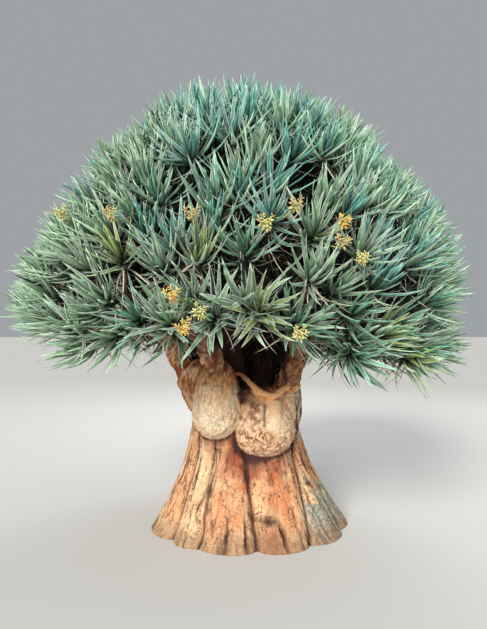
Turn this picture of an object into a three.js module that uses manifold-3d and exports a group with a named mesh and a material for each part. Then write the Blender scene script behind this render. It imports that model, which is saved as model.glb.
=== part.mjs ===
// A squat old kokerboom, or quiver tree: a broad conical trunk with two pouch-shaped burls,
// eight main boughs that fork once more, and a dense domed crown of leaf rosettes.
// Lengths are millimetres, +Z is up, and the origin is the middle of the flat cut at ground level.
// +X is to the right of a viewer who looks along +Y at the side with the two burls.
import * as THREE from "three";
import { mergeVertices } from "three/addons/utils/BufferGeometryUtils.js";
import Module from "manifold-3d";

const wasm = await Module();
wasm.setup();

// Driving dimensions of the crown, a dome about its own centre
const CROWN_CENTRE = new THREE.Vector3(-70, 0, 1650);
const CROWN_REACH = 1740; // from the crown's centre to its furthest leaf tips
const CROWN_FLOOR = 1260; // the height that no leaf hangs below, but for its rises round the crown
const FLOOR_RISES = [
  { azimuth: 180, spread: 24, rise: 180 },
  { azimuth: -90, spread: 12, rise: 180 },
  { azimuth: -42, spread: 26, rise: -180 },
  { azimuth: 0, spread: 16, rise: 110 },
  { azimuth: 85, spread: 35, rise: -220 },
];
// The crown is flatter on its two shoulders, by a share of its reach.
const DENTS = [
  { side: new THREE.Vector3(-0.8, -0.15, 0.58).normalize(), depth: 0.12 },
  { side: new THREE.Vector3(0.73, -0.25, 0.64).normalize(), depth: 0.045 },
];
const DENT_SPREAD = 0.42; // radians
const GROWTH_CENTRE = new THREE.Vector3(-40, 0, 1100); // the fork that all growth points away from

// Driving dimensions of the trunk
const BASE_RADIUS = 742;
const NECK_RADIUS = 392;
const NECK_HEIGHT = 880;
const TRUNK_TOP = 1055;
const TRUNK_BOWL = 50; // how deep the trunk's top is hollowed between the boughs
const FLARE_POWER = 1.7;
const TRUNK_DEPTH = 0.93; // front-to-back size as a share of the width
const TRUNK_LEAN = -45; // how far right of the foot the neck stands
const TRUNK_LEVELS = [0, 60, 160, 270, 380, 490, 600, 720, 850, 970];

// Clearance between neighbouring solids
const GAP = 0.3;
const BARK_TINT = { color: 0xd8a06c, roughness: 0.9 };
const LEAF_TINT = { color: 0x6ea58a, roughness: 0.6 };

const radians = THREE.MathUtils.degToRad;
const bell = (offset, width) => Math.exp(-((offset / width) ** 2));
const point = (x, y, z) => new THREE.Vector3(x, y, z);

// The shortest turn from one azimuth to another, in degrees.
const turn = (from, to) => ((((to - from) % 360) + 540) % 360) - 180;

// A repeatable random source.
function seeded(seed) {
  let state = seed >>> 0;
  return () => {
    state = (Math.imul(state, 1664525) + 1013904223) >>> 0;
    return state / 4294967296;
  };
}

// A closed three.js geometry as a solid, and the way back.
function solid(geometry) {
  geometry.deleteAttribute("normal");
  geometry.deleteAttribute("uv");
  const merged = mergeVertices(geometry, 1e-3);
  return new wasm.Manifold(
    new wasm.Mesh({
      numProp: 3,
      vertProperties: merged.attributes.position.array,
      triVerts: new Uint32Array(merged.index.array),
    }),
  );
}

function geometryOf(body) {
  const mesh = body.getMesh();
  const geometry = new THREE.BufferGeometry();
  geometry.setAttribute("position", new THREE.BufferAttribute(mesh.vertProperties, 3));
  geometry.setIndex(new THREE.BufferAttribute(mesh.triVerts, 1));
  const faceted = geometry.toNonIndexed();
  faceted.computeVertexNormals();
  return faceted;
}

const largest = (body) =>
  body.decompose().reduce((best, part) => (part.volume() > best.volume() ? part : best));

// Moves every vertex of a geometry to the place that a rule gives for it.
function reshape(geometry, rule) {
  const position = geometry.attributes.position;
  const vertex = new THREE.Vector3();
  for (let i = 0; i < position.count; i++) {
    vertex.fromBufferAttribute(position, i);
    const moved = rule(vertex);
    position.setXYZ(i, moved.x, moved.y, moved.z);
  }
  return geometry;
}

// Two directions square to an axis, the first as level as can be.
function squareTo(axis) {
  const level = point(0, 0, 1).cross(axis);
  if (level.length() < 0.05) level.set(1, 0, 0);
  level.normalize();
  return [level, axis.clone().cross(level).normalize()];
}

// A tapering limb: a cylinder bent along a curve, with a ring of vertices at even steps of the
// curve's parameter. grow makes the same limb a little thicker and longer.
function limb({ curve, radiusAt, sides, rings }, grow = 0) {
  const [guide] = squareTo(curve.getPoint(1).sub(curve.getPoint(0)).normalize());
  return solid(
    reshape(new THREE.CylinderGeometry(1, 1, 1, sides, rings), (unit) => {
      const along = Math.round((unit.y + 0.5) * rings) / rings;
      const tangent = curve.getTangent(along);
      const side = guide.clone().addScaledVector(tangent, -guide.dot(tangent)).normalize();
      const radius = radiusAt(along) + grow;
      const stretch = along === 0 ? -grow : along === 1 ? grow : 0;
      return curve
        .getPoint(along)
        .addScaledVector(tangent, stretch)
        .addScaledVector(side, radius * unit.x)
        .addScaledVector(side.clone().cross(tangent), radius * unit.z);
    }),
  );
}

// The trunk's clefts run from the ground up, in the order of their azimuths: azimuth at the ground,
// drift of the azimuth on the way to the neck, depth, and half-width in degrees.
const CLEFTS = [
  { azimuth: -142, drift: -8, depth: 56, width: 4 },
  { azimuth: -119, drift: -8, depth: 30, width: 3.5 },
  { azimuth: -86, drift: -7, depth: 84, width: 4 },
  { azimuth: -53, drift: 30, depth: 62, width: 4 },
  { azimuth: -17, drift: 8, depth: 54, width: 5 },
  { azimuth: 22, drift: -5, depth: 60, width: 5 },
  { azimuth: 63, drift: 6, depth: 54, width: 5 },
  { azimuth: 101, drift: -8, depth: 66, width: 5 },
  { azimuth: 140, drift: 5, depth: 52, width: 5 },
  { azimuth: 176, drift: 6, depth: 58, width: 5 },
];
// The trunk is hollowed under the burls, round an azimuth and a height.
const UNDERCUT = { azimuth: -88, spread: 42, height: 560, rise: 150, depth: 70 };

function flare(height) {
  const below = Math.max(0, 1 - height / NECK_HEIGHT);
  return NECK_RADIUS + (BASE_RADIUS - NECK_RADIUS) * below ** FLARE_POWER;
}

// How far the trunk's middle stands aside at a height.
const lean = (height) => TRUNK_LEAN * Math.min(1, height / NECK_HEIGHT);

// Each lobe of bark between two clefts has five sides. Their corners follow the clefts: one in the
// first cleft, one on its lip, two on the lobe, and one on the lip of the next cleft.
const LOBE_SIDES = 5;
const TRUNK_SIDES = LOBE_SIDES * CLEFTS.length;
const CLEFT_LIP = 0.4; // share of a cleft's depth that is left on its lips
const CLEFT_FADE = 0.55; // share of a cleft's depth that is gone at the neck
const LOBE_SWELL = 14; // how far the bark swells out between two clefts
const LOBE_CORNERS = [0.37, 0.63]; // where a lobe's own corners are, as shares of the way across it

function trunkCorner(side, height, grow) {
  const up = Math.min(1, height / NECK_HEIGHT);
  const index = Math.floor(side / LOBE_SIDES);
  const step = side % LOBE_SIDES;
  const here = CLEFTS[index];
  const next = CLEFTS[(index + 1) % CLEFTS.length];
  const from = here.azimuth + here.drift * up;
  const across = (next.azimuth + next.drift * up - from + 720) % 360;
  const [azimuth, cut] = [
    [from, -here.depth],
    [from + here.width, -here.depth * CLEFT_LIP],
    [from + across * LOBE_CORNERS[0], LOBE_SWELL],
    [from + across * LOBE_CORNERS[1], LOBE_SWELL],
    [from + across - next.width, -next.depth * CLEFT_LIP],
  ][step];
  const besideBurls = bell(turn(UNDERCUT.azimuth, azimuth), UNDERCUT.spread);
  const belowBurls = bell(height - UNDERCUT.height, UNDERCUT.rise);
  const hollow = UNDERCUT.depth * besideBurls * belowBurls;
  const radius = flare(height) + cut * (1 - CLEFT_FADE * up) - hollow + grow;
  return point(
    radius * Math.cos(radians(azimuth)) + lean(height),
    radius * Math.sin(radians(azimuth)) * TRUNK_DEPTH,
    height + (height > NECK_HEIGHT ? grow : 0),
  );
}

// The trunk is turned as a unit cylinder with a rounded rim and a bowl in its top, and each of its
// corners is then moved to its own place.
const RIM_DROP = 28;
const RIM_SHARES = [0.9, 0.66]; // of the trunk's radius, at the rim's shoulder and at its top

function trunkBody(grow) {
  const profile = [
    new THREE.Vector2(0, 0),
    ...TRUNK_LEVELS.map((level) => new THREE.Vector2(1, level)),
    new THREE.Vector2(RIM_SHARES[0], TRUNK_TOP - RIM_DROP),
    new THREE.Vector2(RIM_SHARES[1], TRUNK_TOP),
    new THREE.Vector2(0, TRUNK_TOP - TRUNK_BOWL),
  ];
  const lathe = new THREE.LatheGeometry(profile, TRUNK_SIDES);
  lathe.rotateX(Math.PI / 2);
  return solid(
    reshape(lathe, (unit) => {
      const share = Math.hypot(unit.x, unit.y);
      const round = Math.atan2(unit.y, unit.x) / (2 * Math.PI) + 0.25;
      const side = Math.round((round + 1) * TRUNK_SIDES) % TRUNK_SIDES;
      const corner = trunkCorner(side, unit.z, grow);
      const middle = lean(unit.z);
      return point(middle + (corner.x - middle) * share, corner.y * share, corner.z);
    }),
  );
}

// The two burls hang like pouches on the front, a rib of bark rises beside the right one, and a
// wall of wood closes the crotch behind them. z is where each is widest, and a girth below 1 keeps
// it wide for longer on the way up.
const SWELLINGS = [
  { x: -236, y: -225, z: 852, halfWidth: 188, halfDepth: 215, drop: 158, rise: 420, girth: 0.85 },
  { x: 100, y: -215, z: 738, halfWidth: 232, halfDepth: 245, drop: 174, rise: 268, girth: 0.5 },
  { x: 285, y: -120, z: 900, halfWidth: 105, halfDepth: 150, drop: 260, rise: 250, girth: 0.7 },
  { x: 150, y: -160, z: 950, halfWidth: 170, halfDepth: 130, drop: 200, rise: 110, girth: 0.7 },
];

function swelling({ x, y, z, halfWidth, halfDepth, drop, rise, girth }, grow) {
  const ball = new THREE.SphereGeometry(1, 12, 8);
  ball.rotateX(Math.PI / 2);
  return solid(
    reshape(ball, (unit) => {
      const ring = Math.hypot(unit.x, unit.y);
      const full = unit.z > 0 && ring > 0.01 ? ring ** (girth - 1) : 1;
      return point(
        x + (halfWidth + grow) * full * unit.x,
        y + (halfDepth + grow) * full * unit.y,
        z + (unit.z > 0 ? rise + grow : drop + grow) * unit.z,
      );
    }),
  );
}

// Narrow slits in the foot of the front lobes, and last a knot hole. Each is cut into the bark by a
// lens whose middle lies on the trunk's surface.
const SLITS = [
  { azimuth: -103, z: 123, halfWidth: 14, halfHeight: 100, depth: 50 },
  { azimuth: -91.6, z: 95, halfWidth: 14, halfHeight: 120, depth: 46 },
  { azimuth: -70, z: 120, halfWidth: 14, halfHeight: 105, depth: 54 },
  { azimuth: -28, z: 235, halfWidth: 14, halfHeight: 150, depth: 40 },
  { azimuth: -78, z: 190, halfWidth: 70, halfHeight: 20, depth: 44 },
];

function slit({ azimuth, z, halfWidth, halfHeight, depth }) {
  const out = bearing(azimuth, 0);
  const aside = out.clone().cross(point(0, 0, 1));
  const middle = out.clone().multiplyScalar(flare(z)).multiply(point(1, TRUNK_DEPTH, 0));
  middle.add(point(lean(z), 0, z));
  const along = point(0, 0, halfHeight).addScaledVector(out, flare(z + halfHeight) - flare(z));
  return solid(
    reshape(new THREE.SphereGeometry(1, 4, 2), (unit) =>
      middle
        .clone()
        .addScaledVector(out, unit.x * depth)
        .addScaledVector(along, unit.y)
        .addScaledVector(aside, unit.z * halfWidth),
    ),
  );
}

// The rolled edge of bark that sags between the left burl and the right bough. It is stoutest
// where it sags, and stouter at its right end than at its left.
const COLLAR_RADIUS = { least: 15, sag: 14, right: 12 };
const COLLAR_LINE = [
  point(-175, -215, 1170),
  point(-70, -268, 1166),
  point(13, -328, 1087),
  point(93, -365, 1013),
  point(163, -370, 990),
  point(243, -332, 1038),
  point(320, -215, 1110),
  point(350, -120, 1160),
];

function collarRadius(along) {
  const sag = Math.sin(Math.PI * Math.min(1, along * 1.15)) ** 2;
  return COLLAR_RADIUS.least + COLLAR_RADIUS.sag * sag + COLLAR_RADIUS.right * along;
}

function collar(grow) {
  const curve = new THREE.CatmullRomCurve3(COLLAR_LINE);
  return limb({ curve, radiusAt: collarRadius, sides: 6, rings: 10 }, grow);
}

function trunkSolid(grow = 0) {
  const slotted = SLITS.reduce((body, form) => body.subtract(slit(form)), trunkBody(grow));
  return SWELLINGS.reduce((body, form) => body.add(swelling(form, grow)), slotted.add(collar(grow)));
}

// The crown's lower edge: high over the burls and at both sides, low at the front right and behind.
function crownFloor({ x, y }) {
  const azimuth = THREE.MathUtils.radToDeg(Math.atan2(y, x));
  return FLOOR_RISES.reduce(
    (floor, { azimuth: at, spread, rise }) => floor + rise * bell(turn(at, azimuth), spread),
    CROWN_FLOOR,
  );
}

// How far the crown reaches from its centre in a direction.
function crownReach(direction) {
  return DENTS.reduce(
    (reach, { side, depth }) => reach - CROWN_REACH * depth * bell(direction.angleTo(side), DENT_SPREAD),
    CROWN_REACH,
  );
}

function bearing(azimuth, elevation) {
  const up = radians(elevation);
  const round = radians(azimuth);
  return point(Math.cos(up) * Math.cos(round), Math.cos(up) * Math.sin(round), Math.sin(up));
}

const onCrown = (direction, share) =>
  CROWN_CENTRE.clone().addScaledVector(direction, crownReach(direction) * share);

// The masses of foliage sit in rows round the dome.
const MASS_ROWS = [
  { name: "rim", elevation: 0, count: 9, first: 250 },
  { name: "flank", elevation: 28, count: 8, first: 270 },
  { name: "shoulder", elevation: 57, count: 5, first: 234 },
  { name: "top", elevation: 90, count: 1, first: 180 },
];
const STEM_SHARE = 0.5; // where a mass's stem starts, as a share of the crown's reach

const masses = MASS_ROWS.flatMap(({ name, elevation, count, first }) =>
  Array.from({ length: count }, (_, i) => {
    const azimuth = (first + (360 / count) * i) % 360;
    const direction = bearing(azimuth, elevation);
    return {
      name: count > 1 ? `${name}_foliage_${i + 1}` : `${name}_foliage`,
      bough: count > 1 ? `${name}_bough_${i + 1}` : `${name}_bough`,
      azimuth,
      elevation,
      direction,
      stem: onCrown(direction, STEM_SHARE),
      axis: onCrown(direction, 1).sub(GROWTH_CENTRE).normalize(),
    };
  }),
);

// The main boughs leave the trunk's top. The inner two climb to the upper masses.
const INNER_ELEVATION = 50;
const MAIN_BOUGHS = [
  { name: "left_bough", azimuth: 182, reach: 400, height: 950, radius: 150 },
  { name: "left_burl_bough", azimuth: 229, reach: 285, height: 1010, radius: 100 },
  { name: "right_bough", azimuth: 330, reach: 290, height: 960, radius: 126 },
  { name: "right_back_bough", azimuth: 20, reach: 265, height: 900, radius: 130 },
  { name: "back_bough", azimuth: 78, reach: 265, height: 900, radius: 140 },
  { name: "left_back_bough", azimuth: 132, reach: 265, height: 900, radius: 135 },
  { name: "inner_left_bough", azimuth: 200, reach: 80, height: 920, radius: 135, inner: true },
  { name: "inner_right_bough", azimuth: 20, reach: 90, height: 920, radius: 138, inner: true },
];
const FOOT = { reach: 0.55, drop: 130 }; // where a bough starts, inwards of its socket and below it
const ELBOW = { along: 0.45, lift: 0.08 }; // where it bends, and how far above the straight line
const FORK_SHARE = 0.42; // how far a limb runs to the middle of what it feeds before it forks
const FORK_GIRTH = { least: 46, perMass: 6 }; // a main bough's radius where it forks
const BOUGH_TIP = 34;

function feederOf(mass) {
  const inner = mass.elevation > INNER_ELEVATION;
  const away = (main) => Math.abs(turn(main.azimuth, mass.azimuth));
  return MAIN_BOUGHS.filter((main) => Boolean(main.inner) === inner).reduce((best, main) =>
    away(main) < away(best) ? main : best,
  );
}

const mean = (points) =>
  points.reduce((sum, each) => sum.add(each), point(0, 0, 0)).divideScalar(points.length);

// Each main bough runs from inside the trunk to the fork below the masses that it feeds.
for (const main of MAIN_BOUGHS) {
  main.masses = masses.filter((mass) => feederOf(mass) === main);
  const flat = bearing(main.azimuth, 0);
  const socket = flat.clone().multiplyScalar(main.reach).setZ(main.height);
  const aim = mean(main.masses.map((mass) => mass.stem));
  main.fork = socket.clone().lerp(aim, FORK_SHARE);
  const climb = main.fork.z - socket.z;
  const elbow = socket.clone().lerp(main.fork, ELBOW.along).add(point(0, 0, ELBOW.lift * climb));
  const foot = flat.clone().multiplyScalar(main.reach * FOOT.reach).setZ(main.height - FOOT.drop);
  main.heading = main.fork.clone().sub(elbow).normalize();
  main.tipRadius = FORK_GIRTH.least + FORK_GIRTH.perMass * main.masses.length;
  main.shape = {
    curve: new THREE.CatmullRomCurve3([foot, socket, elbow, main.fork]),
    radiusAt: (along) => THREE.MathUtils.lerp(main.radius, main.tipRadius, Math.sqrt(along)),
    sides: 7,
    rings: 4,
  };
}

// Each mass has one bough, from the fork to the place where the foliage's stem starts. It leaves
// the fork along the main bough's heading and comes in along the stem's.
const BRANCH_SINK = 20; // how deep it starts inside the main bough
const BRANCH_GIRTH = 0.72; // its radius there, as a share of the main bough's
const BRANCH_BEND = { start: 0.25, end: 0.4 }; // how long it keeps each heading, as shares of its span

function branchShape(main, mass) {
  const start = main.fork.clone().addScaledVector(main.heading, -BRANCH_SINK);
  const away = mean(mass.heads).sub(mass.stem).normalize();
  const span = start.distanceTo(mass.stem);
  return {
    curve: new THREE.CubicBezierCurve3(
      start,
      start.clone().addScaledVector(main.heading, span * BRANCH_BEND.start),
      mass.stem.clone().addScaledVector(away, -span * BRANCH_BEND.end),
      mass.stem,
    ),
    radiusAt: (along) =>
      THREE.MathUtils.lerp(main.tipRadius * BRANCH_GIRTH, BOUGH_TIP, along ** 0.7),
    sides: 5,
    rings: 2,
  };
}

// The heads, where rosettes grow, stand round the middle of each mass, a little unevenly.
const HEADS_PER_MASS = 4;
const HEAD_SHARE = 0.745; // a head's distance from the crown's centre, as a share of its reach
const HEAD_SPREAD = { level: 10, rise: 8 }; // degrees from the mass's middle
const HEAD_JITTER = 0.3; // share of that spread
const HEAD_LIFT = 70; // how far the lowest heads stand above the crown's lower edge

function headsOf(mass, random) {
  const [level, rise] = squareTo(mass.direction);
  return Array.from({ length: HEADS_PER_MASS }, (_, i) => {
    const round = (2 * Math.PI * (i + 0.5 + HEAD_JITTER * (random() - 0.5))) / HEADS_PER_MASS;
    const wide = Math.SQRT2 * (1 + HEAD_JITTER * (random() - 0.5));
    const aside = Math.tan(radians(HEAD_SPREAD.level)) * wide * Math.cos(round);
    const above = Math.tan(radians(HEAD_SPREAD.rise)) * wide * Math.sin(round);
    const direction = mass.direction.clone().addScaledVector(level, aside);
    direction.addScaledVector(rise, above).normalize();
    const head = onCrown(direction, HEAD_SHARE * (0.97 + 0.06 * random()));
    return head.setZ(Math.max(head.z, crownFloor(head) + HEAD_LIFT));
  });
}

masses.forEach((mass, i) => {
  mass.heads = headsOf(mass, seeded(11 + i));
});

// A mass's own space: nearer its axis than any other's, within the crown, and clear of the limbs.
const SPACE_MARGIN = 1.5;
const LIMB_MARGIN = 12;

function isInside(mass, place) {
  const out = place.clone().sub(CROWN_CENTRE);
  if (out.length() > crownReach(out.clone().normalize())) return false;
  if (place.z < crownFloor(place)) return false;
  const away = place.clone().sub(GROWTH_CENTRE);
  return masses.every((other) => {
    if (other === mass) return true;
    const wall = mass.axis.clone().sub(other.axis);
    return wall.dot(away) > SPACE_MARGIN * wall.length();
  });
}

// Points along a limb, with its radius there, to keep leaves off the wood.
const MARKS_PER_LIMB = 16;

function limbMarks(shape) {
  return shape.curve.getSpacedPoints(MARKS_PER_LIMB).map((place, i) => {
    const radius = shape.radiusAt(i / MARKS_PER_LIMB) + LIMB_MARGIN;
    return { place, radius };
  });
}

const clearOf = (marks, places) =>
  places.every((place) => marks.every((mark) => mark.place.distanceTo(place) > mark.radius));

// A leaf has six faces: its root, a widest station with two edges and a keel below, and its tip.
const LEAF = { length: 450, width: 112, keel: 20, widest: 0.31, droop: 0.03 };
const RACEME = { length: 350, width: 64, keel: 55, widest: 0.66, droop: 0 };

// The six-faced ball stands on its root at y = -1; its edges are at x = 0.5 and its keel at x = -1.
function bladeRule({ root, along, across, size }) {
  const facing = across.clone().cross(along).normalize();
  return (unit) => {
    const share = unit.y > 0.5 ? 1 : unit.y < -0.5 ? 0 : size.widest;
    const isStation = share === size.widest ? 1 : 0;
    const height = ((unit.x - 0.5) / 1.5) * size.keel + size.droop * size.length;
    return root
      .clone()
      .addScaledVector(along, size.length * share)
      .addScaledVector(facing, isStation * height)
      .addScaledVector(across, (-isStation * unit.z * size.width) / Math.sqrt(3));
  };
}

const sixFaces = () => new THREE.SphereGeometry(1, 3, 2);
const blade = (rule) => solid(reshape(sixFaces(), rule));

function bladeCorners(rule) {
  const edge = Math.sqrt(3) / 2;
  return [point(0, 1, 0), point(-1, 0, 0), point(0.5, 0, edge), point(0.5, 0, -edge)].map(rule);
}

// A leaf that leaves its mass's space is tried again nearer the rosette's axis, then shorter: a
// share of its lean and a share of its length.
const LEAF_TRIES = [
  [1, 1],
  [0.78, 1],
  [0.56, 1],
  [0.34, 1],
  [0.75, 0.82],
  [0.4, 0.82],
];
const LEAVES_PER_HEAD = 7;
const GOLDEN_TURN = 137.508; // degrees from one leaf to the next
const INNER_SPREAD = 16; // degrees that the first leaf leans from the rosette's axis
const OUTER_SPREAD = 86; // and the last
const RACEME_STEP = 2.5; // a raceme's turn round the axis, in leaves
const RACEME_SPREAD = 24;
const ROOT_DEPTH = 14; // how deep the leaves are rooted in the end of their twig
const SPINE_START = 90; // beyond this distance from its root a leaf keeps clear of the others
const LEAF_SPACING = 35;

// The masses whose first head bears a raceme of old blossom.
const hasRaceme = (mass) => masses.indexOf(mass) % 3 === 0;

function rosette(mass, head, index, { marks, spines, random }) {
  const axis = head.clone().sub(GROWTH_CENTRE).normalize();
  const root = head.clone().addScaledVector(axis, -ROOT_DEPTH);
  const [level, rise] = squareTo(axis);
  const parts = [];
  const spin = 360 * random();
  const grow = (step, spread, size) => {
    const round = radians(spin + GOLDEN_TURN * step);
    const out = level.clone().multiplyScalar(Math.cos(round)).addScaledVector(rise, Math.sin(round));
    const across = out.clone().cross(axis).normalize();
    for (const [lean, share] of LEAF_TRIES) {
      const tilt = radians(spread * lean);
      const along = axis.clone().multiplyScalar(Math.cos(tilt)).addScaledVector(out, Math.sin(tilt));
      const rule = bladeRule({ root, along, across, size: { ...size, length: size.length * share } });
      const corners = bladeCorners(rule);
      const spine = new THREE.Line3(root.clone().addScaledVector(along, SPINE_START), corners[0]);
      const fits = corners.every((corner) => isInside(mass, corner)) && clearOf(marks, corners);
      if (fits && spines.every((other) => other.distanceSqToLine3(spine) > LEAF_SPACING ** 2)) {
        spines.push(spine);
        parts.push(blade(rule));
        return;
      }
    }
  };
  for (let step = 0; step < LEAVES_PER_HEAD; step++) {
    const share = step / (LEAVES_PER_HEAD - 1);
    const length = LEAF.length * (0.9 + 0.16 * random());
    grow(step, THREE.MathUtils.lerp(INNER_SPREAD, OUTER_SPREAD, share), { ...LEAF, length });
  }
  if (index === 0 && hasRaceme(mass)) grow(RACEME_STEP, RACEME_SPREAD, RACEME);
  return parts;
}

const TWIG_RADIUS = 17;
const HEAD_RADIUS = 34; // where a twig ends in a rosette
const FORK_RADIUS = 10; // where a side twig starts inside the twig that bears it
const twigRadius = (count) => TWIG_RADIUS * count ** 0.4;

// A three-sided twig that bends through a row of places, thinnest where it starts in another.
function twig(places, startRadius) {
  const curve = new THREE.CatmullRomCurve3(places);
  const radii = places.map((_, i) => twigRadius(places.length - 1 - i));
  radii[0] = startRadius;
  radii[radii.length - 1] = HEAD_RADIUS;
  const rings = places.length - 1;
  return limb({ curve, radiusAt: (along) => radii[Math.round(along * rings)], sides: 3, rings });
}

// The direction across a group of heads, between the two that are furthest apart.
function longestWay(heads) {
  const ways = heads.flatMap((from) => heads.map((to) => to.clone().sub(from)));
  return ways.reduce((best, way) => (way.length() > best.length() ? way : best));
}

// A twig runs part of the way to the middle of its heads. There it bends on towards one half of
// them, and a side twig grows to the other half, until each twig ends in one head.
function branch(places, heads, startRadius, parts) {
  if (heads.length === 1) {
    parts.push(twig([...places, heads[0]], startRadius));
    return;
  }
  const fork = places.at(-1).clone().lerp(mean(heads), FORK_SHARE);
  const across = longestWay(heads);
  const sorted = [...heads].sort((a, b) => a.dot(across) - b.dot(across));
  const half = Math.ceil(sorted.length / 2);
  branch([...places, fork], sorted.slice(0, half), startRadius, parts);
  branch([fork], sorted.slice(half), FORK_RADIUS, parts);
}

function foliage(mass, marks, random) {
  const away = mean(mass.heads).sub(mass.stem).normalize();
  const foot = mass.stem.clone().addScaledVector(away, GAP);
  const parts = [];
  branch([foot], mass.heads, BOUGH_TIP - 4, parts);
  const spines = [];
  mass.heads.forEach((head, i) => parts.push(...rosette(mass, head, i, { marks, spines, random })));
  return largest(parts.reduce((body, part) => body.add(part)));
}

// The tree, each limb cut clear of what it grows from.
const tree = new THREE.Group();
const barkMaterial = new THREE.MeshStandardMaterial(BARK_TINT);
const leafMaterial = new THREE.MeshStandardMaterial(LEAF_TINT);

function addNode(name, body, material) {
  const mesh = new THREE.Mesh(geometryOf(body), material);
  mesh.name = name;
  tree.add(mesh);
}

addNode("trunk", trunkSolid(), barkMaterial);
const cutters = [trunkSolid(GAP)];
const marks = [];

function addLimb(name, shape) {
  const body = cutters.reduce((rest, cutter) => rest.subtract(cutter), limb(shape));
  addNode(name, largest(body), barkMaterial);
  cutters.push(limb(shape, GAP));
  marks.push(...limbMarks(shape));
}

for (const main of MAIN_BOUGHS) addLimb(main.name, main.shape);
for (const main of MAIN_BOUGHS) {
  for (const mass of main.masses) addLimb(mass.bough, branchShape(main, mass));
}

masses.forEach((mass, i) => {
  addNode(mass.name, foliage(mass, marks, seeded(101 + i)), leafMaterial);
});

export default tree;
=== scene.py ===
"""A squat old kokerboom, or quiver tree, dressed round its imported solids.

The wood is one relief mesh for the trunk with the feet of its boughs, and one for the boughs. The
crown is grown on from the boughs by the rule that places its masses: each mass has a stem, twigs
that fork towards its heads, and a rosette of channelled leaves on every head.
Lengths are metres. +Z is up, and the side with the two burls faces -Y.
"""

import math
from collections import namedtuple

import bmesh
import bpy
import numpy as np
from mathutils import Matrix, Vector, noise


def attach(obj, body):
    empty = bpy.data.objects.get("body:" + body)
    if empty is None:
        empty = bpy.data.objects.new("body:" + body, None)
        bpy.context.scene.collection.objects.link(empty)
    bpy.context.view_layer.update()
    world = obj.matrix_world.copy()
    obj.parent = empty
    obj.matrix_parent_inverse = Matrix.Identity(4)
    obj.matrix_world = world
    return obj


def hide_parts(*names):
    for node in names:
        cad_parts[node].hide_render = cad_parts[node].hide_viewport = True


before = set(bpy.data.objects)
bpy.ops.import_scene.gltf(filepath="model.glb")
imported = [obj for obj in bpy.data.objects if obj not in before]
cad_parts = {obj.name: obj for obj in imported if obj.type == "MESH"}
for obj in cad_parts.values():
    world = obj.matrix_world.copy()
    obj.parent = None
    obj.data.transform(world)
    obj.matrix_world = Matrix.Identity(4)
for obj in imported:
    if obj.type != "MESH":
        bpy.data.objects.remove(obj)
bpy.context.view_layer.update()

UP = np.array([0.0, 0.0, 1.0])
TURN = 2 * math.pi

# The crown's driving dimensions, a dome about its own centre
CROWN_CENTRE = np.array([-0.070, 0.0, 1.650])
CROWN_REACH = 1.740
CROWN_FLOOR = 1.260
# Where the lower edge is higher or lower: azimuth, spread in degrees and rise
FLOOR_RISES = [(180, 24, 0.180), (-90, 12, 0.180), (-42, 26, -0.180), (0, 16, 0.110), (85, 35, -0.220)]
# The flatter shoulders, and where leaves reach further or less far: direction and share of the reach
DENTS = [((-0.8, -0.15, 0.58), 0.12), ((0.73, -0.25, 0.64), 0.045)]
DENT_SPREAD = 0.42
LEAF_REACHES = [
    ((-1.0, -0.15, 0.08), 0.055),
    ((0.93, -0.1, -0.22), -0.060),
    ((0.99, -0.05, 0.16), 0.035),
    ((-0.85, -0.12, 0.5), -0.035),
    ((0.0, -0.1, 1.0), -0.022),
    ((-0.5, -0.1, 0.85), -0.025),
]
LEAF_SPREAD = 0.30
GROWTH_CENTRE = np.array([-0.040, 0.0, 1.100])

# The trunk's driving dimensions
BASE_RADIUS = 0.742
NECK_RADIUS = 0.392
NECK_HEIGHT = 0.880
TRUNK_TOP = 1.055
TRUNK_BOWL = 0.050
FLARE_POWER = 1.7
TRUNK_DEPTH = 0.93
TRUNK_LEAN = -0.045


def unit(vectors):
    return vectors / np.maximum(np.linalg.norm(vectors, axis=-1, keepdims=True), 1e-9)


def bell(offset, width):
    return np.exp(-((offset / width) ** 2))


def smooth(low, high, value):
    """0 below low, 1 above high, and an even slope between them."""
    t = np.clip((value - low) / (high - low), 0, 1)
    return t * t * (3 - 2 * t)


def turn_between(start, end):
    """The shortest turn from one azimuth to another, in degrees."""
    return (end - start + 180) % 360 - 180


def bearing(azimuth, elevation):
    """The direction at an azimuth and an elevation in degrees."""
    a, e = np.radians(azimuth), np.radians(elevation)
    return np.stack([np.cos(e) * np.cos(a), np.cos(e) * np.sin(a), np.sin(e)], axis=-1)


def angle_to(way, directions):
    """The angle between a way and each of many directions, in radians."""
    return np.arccos(np.clip(np.sum(directions * unit(np.array(way)), axis=-1), -1, 1))


def crown_reach(directions):
    """How far the crown reaches from its centre. It is flatter on its two shoulders."""
    reach = CROWN_REACH
    for way, depth in DENTS:
        reach = reach - CROWN_REACH * depth * bell(angle_to(way, directions), DENT_SPREAD)
    return reach


def leaf_reach(directions):
    """How far leaves may reach from the crown's centre."""
    growth = [share * bell(angle_to(way, directions), LEAF_SPREAD) for way, share in LEAF_REACHES]
    return crown_reach(directions) * (1 + sum(growth))


def crown_floor(places):
    """The height of the crown's lower edge, at the azimuths of places."""
    azimuth = np.degrees(np.arctan2(places[..., 1], places[..., 0]))
    rises = [rise * bell(turn_between(at, azimuth), spread) for at, spread, rise in FLOOR_RISES]
    return CROWN_FLOOR + sum(rises)


def on_crown(direction, share):
    """The place in a direction from the crown's centre, at a share of its reach."""
    return CROWN_CENTRE + direction * np.asarray(crown_reach(direction) * share)[..., None]


def square_to(axis):
    """Two directions square to each axis, the first as level as can be."""
    level = np.cross(UP, axis)
    steep = np.linalg.norm(level, axis=-1, keepdims=True) < 0.05
    level = unit(np.where(steep, (1.0, 0.0, 0.0), level))
    return level, unit(np.cross(axis, level))


# Curves and tubes


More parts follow.
